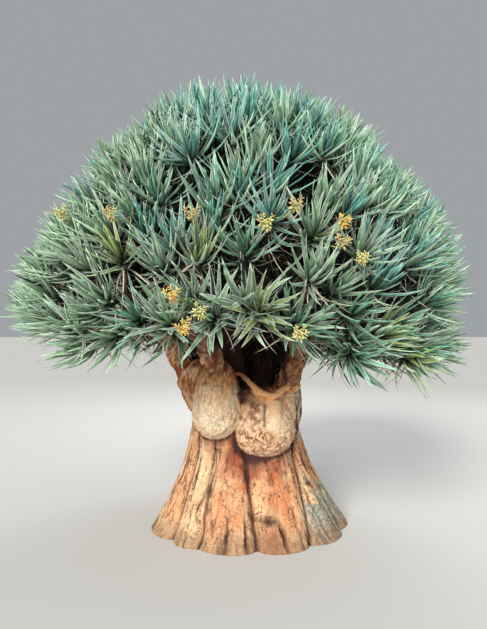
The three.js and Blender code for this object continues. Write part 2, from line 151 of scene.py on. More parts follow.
def catmull(points, steps):
    """A centripetal Catmull-Rom curve through points, at even steps of its parameter."""
    points = np.asarray(points, float)
    ends = [2 * points[0] - points[1], *points, 2 * points[-1] - points[-2]]
    spans = len(points) - 1
    made = []
    for t in np.linspace(0, spans, steps + 1):
        i = min(int(t), spans - 1)
        p0, p1, p2, p3 = ends[i : i + 4]
        d0, d1, d2 = (max(np.linalg.norm(b - a), 1e-6) ** 0.5 for a, b in ((p0, p1), (p1, p2), (p2, p3)))
        m1 = ((p1 - p0) / d0 - (p2 - p0) / (d0 + d1) + (p2 - p1) / d1) * d1
        m2 = ((p2 - p1) / d1 - (p3 - p1) / (d1 + d2) + (p3 - p2) / d2) * d1
        u = t - i
        made.append(
            p1
            + m1 * u
            + (3 * (p2 - p1) - 2 * m1 - m2) * u**2
            + (2 * (p1 - p2) + m1 + m2) * u**3
        )
    return np.array(made)


def bezier(a, b, c, d, steps):
    t = np.linspace(0, 1, steps + 1)[:, None]
    return a * (1 - t) ** 3 + 3 * b * t * (1 - t) ** 2 + 3 * c * t**2 * (1 - t) + d * t**3


def ring_quads(sides, rings):
    """Quads between neighbouring rings of vertices."""
    here = np.arange(sides)
    following = (here + 1) % sides
    band = np.stack([here, following, following + sides, here + sides], axis=1)
    return np.concatenate([band + sides * ring for ring in range(rings - 1)])


def ring_fan(sides, start, middle):
    """Triangles between the ring that starts at a vertex and one point."""
    here = np.arange(sides)
    return np.stack([here + start, (here + 1) % sides + start, np.full(sides, middle)], axis=1)


class Shell:
    """Vertices and faces that become one mesh."""

    def __init__(self):
        self.vertices, self.quads, self.triangles = [], [], []
        self.quad_slots, self.triangle_slots, self.tones = [], [], []
        self.count = 0

    def add(self, vertices, quads, triangles, quad_slot=0, triangle_slot=0, tone_and_shade=0.5):
        vertices = np.asarray(vertices, float).reshape(-1, 3)
        quads = np.asarray(quads, int).reshape(-1, 4)
        triangles = np.asarray(triangles, int).reshape(-1, 3)
        self.vertices.append(vertices)
        self.quads.append(quads + self.count)
        self.triangles.append(triangles + self.count)
        self.quad_slots.append(np.broadcast_to(quad_slot, len(quads)))
        self.triangle_slots.append(np.broadcast_to(triangle_slot, len(triangles)))
        self.tones.append(np.broadcast_to(tone_and_shade, len(vertices)))
        self.count += len(vertices)

    def loft(self, rings, start, end, slot=0):
        """A closed form over rings of vertices, with a point for each end."""
        count, sides = rings.shape[:2]
        points = count * sides
        near_cap = ring_fan(sides, 0, points)[:, [1, 0, 2]]
        far_cap = ring_fan(sides, points - sides, points + 1)
        vertices = np.concatenate([rings.reshape(-1, 3), [start, end]])
        self.add(vertices, ring_quads(sides, count), np.concatenate([near_cap, far_cap]), slot, slot)

    def tube(self, path, radii, sides, slot=0):
        """A closed tube along a path."""
        path = np.asarray(path, float)
        tangents = unit(np.gradient(path, axis=0))
        side, _ = square_to(tangents[0])
        round_ = np.arange(sides)[:, None] * TURN / sides
        rings = []
        for place, tangent, radius in zip(path, tangents, radii):
            side = unit(side - tangent * np.dot(side, tangent))
            over = np.cross(tangent, side)
            rings.append(place + radius * (np.cos(round_) * side + np.sin(round_) * over))
        self.loft(np.array(rings), path[0], path[-1], slot)

    def mesh(self, name):
        quads, triangles = np.concatenate(self.quads), np.concatenate(self.triangles)
        data = bpy.data.meshes.new(name)
        data.vertices.add(self.count)
        data.vertices.foreach_set("co", np.concatenate(self.vertices).astype(np.float32).ravel())
        data.loops.add(quads.size + triangles.size)
        corners = np.concatenate([quads.ravel(), triangles.ravel()])
        data.loops.foreach_set("vertex_index", corners.astype(np.int32))
        data.polygons.add(len(quads) + len(triangles))
        starts = np.concatenate([np.arange(len(quads)) * 4, quads.size + np.arange(len(triangles)) * 3])
        data.polygons.foreach_set("loop_start", starts.astype(np.int32))
        slots = np.concatenate(self.quad_slots + self.triangle_slots)
        data.polygons.foreach_set("material_index", slots.astype(np.int32))
        data.polygons.foreach_set("use_smooth", np.ones(len(starts), bool))
        data.update(calc_edges=True)
        tone_and_shade = data.attributes.new("tone_and_shade", "FLOAT", "POINT")
        tone_and_shade.data.foreach_set("value", np.concatenate(self.tones).astype(np.float32))
        return data

    def piece(self, name, materials):
        made = bpy.data.objects.new(name, self.mesh(name))
        bpy.context.scene.collection.objects.link(made)
        for material in materials:
            made.data.materials.append(material)
        return made


# Materials


def linear(red, green, blue):
    """A colour given as display values from 0 to 255, as the linear RGBA that shaders take."""
    share = np.array([red, green, blue]) / 255
    made = np.where(share <= 0.04045, share / 12.92, ((share + 0.055) / 1.055) ** 2.4)
    return (*made.tolist(), 1.0)


class Shader:
    """A short way to write a node material."""

    def __init__(self, name, roughness):
        self.material = bpy.data.materials.new(name)
        self.material.use_nodes = True
        self.nodes = self.material.node_tree.nodes
        self.links = self.material.node_tree.links
        self.surface = self.nodes["Principled BSDF"]
        self.surface.inputs["Roughness"].default_value = roughness
        self.places = self.nodes.new("ShaderNodeTexCoord").outputs["Object"]

    def attach(self, value, socket):
        if isinstance(value, bpy.types.NodeSocket):
            self.links.new(value, socket)
        else:
            socket.default_value = value

    def stretched(self, stretch, warp):
        """Places scaled along each axis, and pushed about by noise."""
        mapping = self.nodes.new("ShaderNodeMapping")
        mapping.inputs["Scale"].default_value = stretch
        self.links.new(self.places, mapping.inputs["Vector"])
        if not warp:
            return mapping.outputs["Vector"]
        push = self.nodes.new("ShaderNodeTexNoise")
        push.inputs["Scale"].default_value = 14
        self.links.new(self.places, push.inputs["Vector"])
        moved = self.nodes.new("ShaderNodeVectorMath")
        moved.operation = "MULTIPLY_ADD"
        self.links.new(push.outputs["Color"], moved.inputs[0])
        moved.inputs[1].default_value = (warp, warp, warp)
        self.links.new(mapping.outputs["Vector"], moved.inputs[2])
        return moved.outputs["Vector"]

    def noise(self, scale, detail=3, stretch=(1, 1, 1), distortion=0.0):
        node = self.nodes.new("ShaderNodeTexNoise")
        self.links.new(self.stretched(stretch, 0), node.inputs["Vector"])
        node.inputs["Scale"].default_value = scale
        node.inputs["Detail"].default_value = detail
        node.inputs["Distortion"].default_value = distortion
        return node.outputs["Fac"]

    def seams(self, scale, stretch, warp, width):
        """1 on the borders between cells, falling to 0 beside them."""
        node = self.nodes.new("ShaderNodeTexVoronoi")
        node.feature = "DISTANCE_TO_EDGE"
        self.links.new(self.stretched(stretch, warp), node.inputs["Vector"])
        node.inputs["Scale"].default_value = scale
        return self.span(node.outputs["Distance"], width * 0.2, width, 1.0, 0.0)

    def attribute(self, name):
        node = self.nodes.new("ShaderNodeAttribute")
        node.attribute_name = name
        return node.outputs["Fac"]

    def span(self, value, low, high, to_low=0.0, to_high=1.0):
        node = self.nodes.new("ShaderNodeMapRange")
        node.interpolation_type = "SMOOTHSTEP"
        self.links.new(value, node.inputs["Value"])
        ends = {"From Min": low, "From Max": high, "To Min": to_low, "To Max": to_high}
        for socket, number in ends.items():
            node.inputs[socket].default_value = number
        return node.outputs["Result"]

    def math(self, operation, a, b):
        node = self.nodes.new("ShaderNodeMath")
        node.operation = operation
        self.attach(a, node.inputs[0])
        self.attach(b, node.inputs[1])
        return node.outputs[0]

    def times(self, a, b):
        return self.math("MULTIPLY", a, b)

    def mix(self, share, a, b, blend="MIX"):
        node = self.nodes.new("ShaderNodeMix")
        node.data_type = "RGBA"
        node.blend_type = blend
        self.attach(share, node.inputs["Factor"])
        self.attach(a, node.inputs["A"])
        self.attach(b, node.inputs["B"])
        return node.outputs["Result"]

    def bump(self, height, distance, strength=1.0, normal=None):
        node = self.nodes.new("ShaderNodeBump")
        node.inputs["Strength"].default_value = strength
        node.inputs["Distance"].default_value = distance
        self.links.new(height, node.inputs["Height"])
        if normal is not None:
            self.links.new(normal, node.inputs["Normal"])
        return node.outputs["Normal"]

    def finish(self, colour, normal=None):
        self.attach(colour, self.surface.inputs["Base Color"])
        if normal is not None:
            self.links.new(normal, self.surface.inputs["Normal"])
        return self.material


BARK = {
    "tan": linear(214, 160, 114),
    "cream": linear(242, 210, 164),
    "burl": linear(255, 238, 206),
    "salmon": linear(226, 146, 98),
    "grey": linear(196, 182, 160),
    "crack": linear(58, 28, 18),
    "gap": linear(140, 84, 54),
    "seam": linear(106, 60, 38),
    "ember": linear(164, 50, 18),
    "gold": linear(244, 170, 100),
    "lichen": linear(162, 165, 148),
    "mould": linear(92, 92, 78),
    "soil": linear(160, 130, 100),
}


def bark_material():
    """Bark whose regions come from the shares that dress_trunk and dress_boughs write."""
    shader = Shader("bark_relief", roughness=0.86)
    share, span, times = shader.attribute, shader.span, shader.times
    blotch = shader.noise(6, detail=5, stretch=(1, 1, 0.5), distortion=0.5)
    streak = shader.noise(26, detail=6, stretch=(1, 1, 0.22), distortion=0.3)
    speckle = shader.noise(120)
    wave = shader.math("SUBTRACT", shader.noise(20, stretch=(1, 1, 0.12), distortion=0.2), 0.5)
    hairline = times(span(shader.math("ABSOLUTE", wave, 0.0), 0.0, 0.024, 1.0, 0.0), share("rough"))
    grain = times(shader.seams(46, (1, 1, 0.8), 0.03, 0.16), share("grain"))
    wrinkle = times(shader.seams(30, (1, 1, 0.22), 0.05, 0.10), share("wrinkle"))
    plates = times(shader.seams(26, (1, 1, 0.34), 0.11, 0.10), share("plates"))
    layers = [
        (share("cream"), "cream"),
        (times(share("salmon"), span(blotch, 0.3, 0.6, 1.0, 0.35)), "salmon"),
        (span(streak, 0.55, 0.75, 0.0, 0.4), "grey"),
        (share("burl"), "burl"),
        (share("gold"), "gold"),
        (times(share("ember"), span(streak, 0.35, 0.6, 1.0, 0.6)), "ember"),
        (times(grain, 0.3), "seam"),
        (times(wrinkle, 0.45), "seam"),
        (times(plates, span(streak, 0.46, 0.58, 0.0, 0.85)), "seam"),
        (times(share("lichen"), span(streak, 0.28, 0.45, 0.5, 1.0)), "lichen"),
        (times(share("lichen"), span(shader.noise(38), 0.5, 0.62, 0.0, 0.6)), "mould"),
        (share("soil"), "soil"),
        (share("gap"), "gap"),
        (times(hairline, 0.6), "crack"),
        (share("crack"), "crack"),
    ]
    colour = shader.mix(span(blotch, 0.38, 0.62), BARK["tan"], BARK["cream"])
    for amount, name in layers:
        colour = shader.mix(amount, colour, BARK[name])
    speck = times(span(speckle, 0.3, 0.6, 0.35, 0.0), span(share("burl"), 0.0, 1.0, 1.0, 0.35))
    colour = shader.mix(speck, colour, BARK["gap"], "MULTIPLY")
    normal = shader.bump(streak, distance=0.012, strength=0.8)
    normal = shader.bump(speckle, distance=0.003, strength=0.6, normal=normal)
    normal = shader.bump(times(grain, -1.0), distance=0.005, strength=0.5, normal=normal)
    return shader.finish(colour, normal)


def leaf_material(name, colour, roughness=0.5, dark=0.10, light=1.68):
    """A waxy leaf colour between a dark and a light copy of it: painted shade darkens a leaf towards its
    root, and its end is a little lighter or darker.
    """
    shader = Shader(name, roughness)
    low, high = (tuple(min(1.0, part * share) for part in colour[:3]) + (1.0,) for share in (dark, light))
    tint = shader.mix(shader.attribute("tone_and_shade"), low, high)
    streak = shader.noise(45, detail=2)
    tint = shader.mix(shader.span(streak, 0.35, 0.7, 0.0, 0.25), tint, low)
    return shader.finish(tint, shader.bump(streak, distance=0.002, strength=0.35))


LEAF_COLOURS = {
    "leaf_blue": linear(104, 164, 150),
    "leaf_jade": linear(103, 158, 127),
    "leaf_sage": linear(130, 166, 130),
    "leaf_moss": linear(142, 160, 98),
    # The deep and shade colours are painted shade for leaves inside the crown.
    "leaf_deep_shade": linear(30, 54, 40),
    "leaf_shade": linear(12, 20, 14),
    # The margin colour is the leaf's own pale edge, and partly a painted highlight along it.
    "leaf_margin_highlight": linear(214, 230, 208),
    "leaf_under": linear(168, 196, 166),
}
BLUE, JADE, SAGE, MOSS, DEEP_SHADE, SHADE, PALE_MARGIN_HIGHLIGHT, PALE_UNDER = range(len(LEAF_COLOURS))
# The husk colour is dead leaf, dark partly as painted shade.
DRY_COLOURS = {"leaf_dry": linear(200, 188, 168), "leaf_husk_shade": linear(44, 33, 24)}
TWIG_COLOUR = linear(52, 40, 30)
STALK_COLOUR = linear(150, 152, 88)


# The masses of foliage and the boughs that carry them

# Rows of masses: name, elevation, how many, and the first one's azimuth
MASS_ROWS = [
    ("rim", 0, 9, 250),
    ("flank", 28, 8, 270),
    ("shoulder", 57, 5, 234),
    ("top", 90, 1, 180),
]
STEM_SHARE = 0.5
HEADS_PER_MASS = 4
HEAD_SHARE = 0.745
HEAD_SPREAD = (10, 8)
HEAD_JITTER = 0.3
HEAD_LIFT = 0.070


def seeded(seed):
    """The repeatable random source that places the solids' heads."""
    state = seed

    def draw():
        nonlocal state
        state = (state * 1664525 + 1013904223) & 0xFFFFFFFF
        return state / 4294967296

    return draw


def leading_heads(direction, draw):
    """The four heads that a mass's stem aims at."""
    level, rise = square_to(direction)
    heads = []
    for i in range(HEADS_PER_MASS):
        round_ = TURN * (i + 0.5 + HEAD_JITTER * (draw() - 0.5)) / HEADS_PER_MASS
        wide = math.sqrt(2) * (1 + HEAD_JITTER * (draw() - 0.5))
        aside = math.tan(math.radians(HEAD_SPREAD[0])) * wide * math.cos(round_)
        above = math.tan(math.radians(HEAD_SPREAD[1])) * wide * math.sin(round_)
        aim = unit(direction + level * aside + rise * above)
        head = on_crown(aim, HEAD_SHARE * (0.97 + 0.06 * draw()))
        heads.append([head[0], head[1], max(head[2], crown_floor(head) + HEAD_LIFT)])
    return np.array(heads)


def make_masses():
    masses = []
    for name, elevation, count, first in MASS_ROWS:
        for i in range(count):
            azimuth = (first + 360 / count * i) % 360
            direction = bearing(azimuth, elevation)
            ending = f"_{i + 1}" if count > 1 else ""
            heads = leading_heads(direction, seeded(11 + len(masses)))
            stem = on_crown(direction, STEM_SHARE)
            masses.append(
                {
                    "row": name,
                    "node": f"{name}_foliage{ending}",
                    "bough": f"{name}_bough{ending}",
                    "azimuth": azimuth,
                    "elevation": elevation,
                    "stem": stem,
                    "away": unit(heads.mean(axis=0) - stem),
                    "axis": unit(on_crown(direction, 1) - GROWTH_CENTRE),
                }
            )
    return masses


INNER_ELEVATION = 50
# Each main bough's azimuth, and the distance, height and radius of its socket
MAIN_BOUGHS = [
    ("left_bough", 182, 0.400, 0.950, 0.150),
    ("left_burl_bough", 229, 0.285, 1.010, 0.100),
    ("right_bough", 330, 0.290, 0.960, 0.126),
    ("right_back_bough", 20, 0.265, 0.900, 0.130),
    ("back_bough", 78, 0.265, 0.900, 0.140),
    ("left_back_bough", 132, 0.265, 0.900, 0.135),
    ("inner_left_bough", 200, 0.080, 0.920, 0.135),
    ("inner_right_bough", 20, 0.090, 0.920, 0.138),
]
FOOT = (0.55, 0.130)  # a bough's foot in the trunk: share of the socket's distance, and drop
ELBOW = (0.45, 0.08)
FORK_SHARE = 0.42
FORK_GIRTH = (0.046, 0.006)  # the radius at the fork, and more for each mass fed
BOUGH_TIP = 0.034
BRANCH_SINK = 0.020
BRANCH_GIRTH = 0.72
BRANCH_BEND = (0.25, 0.4)
MAIN_STEPS = 40
BRANCH_STEPS = 24


def feeder_of(mass):
    """The main bough that feeds a mass: the one of its ring that is nearest in azimuth."""
    inner = mass["elevation"] > INNER_ELEVATION
    choices = [main for main in MAIN_BOUGHS if main[0].startswith("inner") == inner]
    return min(choices, key=lambda main: abs(turn_between(main[1], mass["azimuth"])))


def make_boughs(masses):
    """The path and the radii of every bough, by its node's name. Main boughs come first."""
    boughs, branches = {}, {}
    for main in MAIN_BOUGHS:
        name, azimuth, distance, height, radius = main
        fed = [mass for mass in masses if feeder_of(mass) is main]
        flat = bearing(azimuth, 0)
        socket = flat * distance + UP * height
        fork = socket + (np.mean([mass["stem"] for mass in fed], axis=0) - socket) * FORK_SHARE
        elbow = socket + (fork - socket) * ELBOW[0] + UP * ELBOW[1] * (fork[2] - socket[2])
        foot = flat * distance * FOOT[0] + UP * (height - FOOT[1])
        heading = unit(fork - elbow)
        tip_radius = FORK_GIRTH[0] + FORK_GIRTH[1] * len(fed)
        along = np.linspace(0, 1, MAIN_STEPS + 1)
        radii = radius + (tip_radius - radius) * np.sqrt(along)
        boughs[name] = (catmull([foot, socket, elbow, fork], MAIN_STEPS), radii)
        for mass in fed:
            start = fork - heading * BRANCH_SINK
            span = np.linalg.norm(mass["stem"] - start)
            lead = start + heading * span * BRANCH_BEND[0]
            reach = mass["stem"] - mass["away"] * span * BRANCH_BEND[1]
            path = bezier(start, lead, reach, mass["stem"], BRANCH_STEPS)
            along = np.linspace(0, 1, BRANCH_STEPS + 1)
            wide = tip_radius * BRANCH_GIRTH
            branches[mass["bough"]] = (path, wide + (BOUGH_TIP - wide) * along**0.7)
    return boughs, branches


# The wood

# Clefts: azimuth at the foot, its change on the way up, depth and half-width in degrees
CLEFTS = [
    (-142, -8, 0.056, 4),
    (-119, -8, 0.030, 3.5),
    (-86, -7, 0.084, 4),
    (-53, 30, 0.062, 4),
    (-17, 8, 0.054, 5),
    (22, -5, 0.060, 5),
    (63, 6, 0.054, 5),
    (101, -8, 0.066, 5),
    (140, 5, 0.052, 5),
    (176, 6, 0.058, 5),
]
CLEFT_FADE = 0.55
LOBE_SWELL = 0.014
# The hollow under the burls: azimuth, its spread, height, its spread and depth
UNDERCUT = (-88, 42, 0.560, 0.150, 0.070)
# Ellipsoids: middle, half-width, half-depth, drop, rise and girth
SWELLINGS = {
    "left_burl": (-0.236, -0.225, 0.852, 0.188, 0.215, 0.158, 0.420, 0.85),
    "right_burl": (0.100, -0.215, 0.738, 0.232, 0.245, 0.174, 0.268, 0.5),
    "right_rib": (0.285, -0.120, 0.900, 0.105, 0.150, 0.260, 0.250, 0.7),
    "crotch_wall": (0.150, -0.160, 0.950, 0.170, 0.130, 0.200, 0.110, 0.7),
    "left_web": (-0.385, -0.110, 1.080, 0.085, 0.080, 0.180, 0.170, 0.6),
}
COLLAR_LINE = [
    (-0.175, -0.215, 1.170),
    (-0.070, -0.268, 1.166),
    (0.008, -0.326, 1.100),
    (0.080, -0.358, 1.036),
    (0.150, -0.362, 1.014),
    (0.232, -0.328, 1.056),
    (0.320, -0.215, 1.110),
    (0.350, -0.120, 1.160),
]
COLLAR_RADIUS = (0.011, 0.014, 0.008)  # the least, more where it sags, and more to the right
COLLAR_STEPS = 60
FOOT_SHARE = 0.62  # of a main bough, what is one mesh with the trunk
BOUGH_INSET = 0.004
BOUGH_OVERLAP = 3
WOOD_VOXEL = 0.0088
CUT_HEIGHT = 0.004
TRUNK_SIDES = 360
TRUNK_LEVELS = 84
TRUNK_SHOULDER = 0.028
# The trunk's rounded rim and the bowl in it: how far below its top, and the share of its radius
TRUNK_RIM = [
    (0.018, 0.97),
    (0.007, 0.9),
    (0.0, 0.8),
    (0.004, 0.66),
    (TRUNK_BOWL * 0.3, 0.45),
    (TRUNK_BOWL * 0.75, 0.2),
]
SWELLING_RINGS = 40
SWELLING_SIDES = 64

# Narrow slits in the foot of the front lobes, and last a knot hole: azimuth, height, half-width,
# half-height and depth
SLITS = [
    (-103, 0.123, 0.014, 0.100, 0.050),
    (-91.6, 0.095, 0.014, 0.120, 0.046),
    (-70, 0.120, 0.014, 0.105, 0.054),
    (-28, 0.235, 0.014, 0.150, 0.040),
    (-78, 0.190, 0.072, 0.026, 0.044),
]
# Upright furrows in the right burl: distance from its middle line, lower end, upper end and depth
BURL_FURROWS = [(0.104, 0.80, 1.00, 0.016), (0.232, 0.86, 1.00, 0.007)]


def lean(height):
    """How far the trunk's middle stands aside at a height."""
    return TRUNK_LEAN * np.minimum(1, height / NECK_HEIGHT)


def trunk_radius(azimuth, height):
    """The trunk's radius at azimuths in degrees and heights, with its clefts and lobes."""
    below = np.maximum(0, 1 - height / NECK_HEIGHT)
    up = np.minimum(1, height / NECK_HEIGHT)
    radius = NECK_RADIUS + (BASE_RADIUS - NECK_RADIUS) * below**FLARE_POWER
    nearest = np.full(np.broadcast(azimuth, height).shape, 180.0)
    cut = np.zeros(nearest.shape)
    for foot, drift, depth, width in CLEFTS:
        off = np.abs(turn_between(foot + drift * up, azimuth))
        nearest = np.minimum(nearest, off)
        cut = np.minimum(cut, -depth * (0.6 * bell(off, width * 0.55) + 0.4 * bell(off, width * 1.9)))
    cut = cut + LOBE_SWELL * smooth(2, 13, nearest)
    middle, spread, level, tall, depth = UNDERCUT
    hollow = depth * bell(turn_between(middle, azimuth), spread) * bell(height - level, tall)
    return radius + cut * (1 - CLEFT_FADE * up) - hollow


def add_trunk(shell):
    below, rim_shares = np.transpose(TRUNK_RIM)
    levels = np.linspace(0, TRUNK_TOP - TRUNK_SHOULDER, TRUNK_LEVELS)
    heights = np.concatenate([levels, TRUNK_TOP - below])[:, None]
    shares = np.concatenate([np.ones(TRUNK_LEVELS), rim_shares])[:, None]
    azimuth = np.linspace(-180, 180, TRUNK_SIDES, endpoint=False)
    radius = trunk_radius(azimuth[None, :], heights) * shares
    x = radius * np.cos(np.radians(azimuth)) + lean(heights)
    y = radius * np.sin(np.radians(azimuth)) * TRUNK_DEPTH
    rings = np.stack([x, y, np.broadcast_to(heights, x.shape)], axis=-1)
    shell.loft(rings, [0, 0, 0], [TRUNK_LEAN, 0, TRUNK_TOP - TRUNK_BOWL])


def add_swelling(shell, form):
    """One ellipsoid. A girth below 1 keeps it wide for longer on the way up."""
    x, y, z, half_width, half_depth, drop, rise, girth = form
    lift = np.linspace(-math.pi / 2, math.pi / 2, SWELLING_RINGS + 2)[1:-1, None]
    round_ = np.arange(SWELLING_SIDES)[None, :] * TURN / SWELLING_SIDES
    ring = np.cos(lift)
    full = np.where(lift > 0, ring ** (girth - 1), 1)
    across = x + half_width * full * ring * np.cos(round_)
    deep = y + half_depth * full * ring * np.sin(round_)
    up = z + np.where(lift > 0, rise, drop) * np.sin(lift) + 0 * round_
    shell.loft(np.stack([across, deep, up], axis=-1), [x, y, z - drop], [x, y, z + rise])


def collar_radii():
    along = np.linspace(0, 1, COLLAR_STEPS + 1)
    sag = np.sin(math.pi * np.minimum(1, along * 1.15)) ** 2
    least, most, right = COLLAR_RADIUS
    return least + most * sag + right * along


def remeshed(shell, name, voxel):
    """The union of a shell's closed forms, as a fresh even mesh."""
    rough = shell.piece(name, [])
    modifier = rough.modifiers.new("union", "REMESH")
    modifier.mode = "VOXEL"
    modifier.voxel_size = voxel
    modifier.adaptivity = 0
    evaluated = rough.evaluated_get(bpy.context.evaluated_depsgraph_get())
    shaped = bpy.data.meshes.new_from_object(evaluated)
    rough.modifiers.clear()
    old = rough.data
    rough.data = shaped
    bpy.data.meshes.remove(old)
    return rough


def flat_foot(piece):
    """Cuts the wood flat at ground level and closes the cut with one face."""
    shape = bmesh.new()
    shape.from_mesh(piece.data)
    everything = shape.verts[:] + shape.edges[:] + shape.faces[:]
    cut = {"plane_co": (0, 0, CUT_HEIGHT), "plane_no": (0, 0, 1), "clear_inner": True}
    bmesh.ops.bisect_plane(shape, geom=everything, **cut)
    rim = [edge for edge in shape.edges if edge.is_boundary]
    made = bmesh.ops.extrude_edge_only(shape, edges=rim)["geom"]
    for vertex in made:
        if isinstance(vertex, bmesh.types.BMVert):
            vertex.co.z = 0
    rim = [edge for edge in shape.edges if edge.is_boundary]
    bmesh.ops.holes_fill(shape, edges=rim)
    bmesh.ops.recalc_face_normals(shape, faces=shape.faces)
    shape.to_mesh(piece.data)
    shape.free()


def noise_at(points, octaves=1):
    """Smooth noise from about -1 to 1 at each point."""
    if octaves == 1:
        return np.array([noise.noise(place) for place in map(Vector, points)])
    return np.array([noise.fractal(place, 1.0, 2.0, octaves) for place in map(Vector, points)])


def cells_at(points):
    """Two values for each point: its nearness to its cell's border, 1 on it, and the cell's own."""
    border, own = [], []
    for place in map(Vector, points):
        spans, centres = noise.voronoi(place)
        border.append(spans[1] - spans[0])
        own.append(noise.cell(centres[0] * 7.3))
    return 1 - smooth(0.04, 0.34, np.array(border)), np.array(own)


def swelling_reach(places, form):
    """How far out each place is from a swelling's middle, as a share of the way to its surface."""
    x, y, z, half_width, half_depth, drop, rise, girth = form
    up = places[:, 2] - z
    tall = np.where(up > 0, rise, drop)
    level = np.clip(np.abs(up / tall), 0, 1)
    full = np.where(up > 0, np.maximum(1 - level**2, 1e-3) ** ((girth - 1) / 2), 1)
    return np.sqrt(
        ((places[:, 0] - x) / (half_width * full)) ** 2
        + ((places[:, 1] - y) / (half_depth * full)) ** 2
        + (up / tall) ** 2
    )


def crotch_shade_share(places):
    """Painted shade: 1 in the hollow between the boughs, which the crown darkens, falling to 0 round it."""
    off = np.hypot(places[:, 0] - 0.03, places[:, 1] - 0.10)
    return (1 - smooth(0.30, 0.44, off)) * smooth(0.98, 1.04, places[:, 2])


def distance_to_line(places, line):
    return np.min(np.linalg.norm(places[:, None, :] - line[None, :, :], axis=2), axis=1)


def vertex_array(data, field):
    values = np.zeros(len(data.vertices) * 3)
    data.vertices.foreach_get(field, values)
    return values.reshape(-1, 3)


def write_shares(data, shares):
    for name, values in shares.items():
        layer = data.attributes.new(name, "FLOAT", "POINT")
        layer.data.foreach_set("value", np.clip(values, 0, 1).astype(np.float32))


def tatters(places):
    """Where old bark stands off the boughs in ragged upright strips."""
    return smooth(0.0, 0.16, noise_at(places * (30, 30, 9) + 83, 3))


def old_bark(strip, patch, share):
    """The shares of ember and gold where older bark shows between the strips."""
    ember = (1 - 0.95 * strip) * share * (0.60 + 0.40 * smooth(-0.3, 0.3, patch))
    return ember, (0.80 - 0.60 * strip) * share


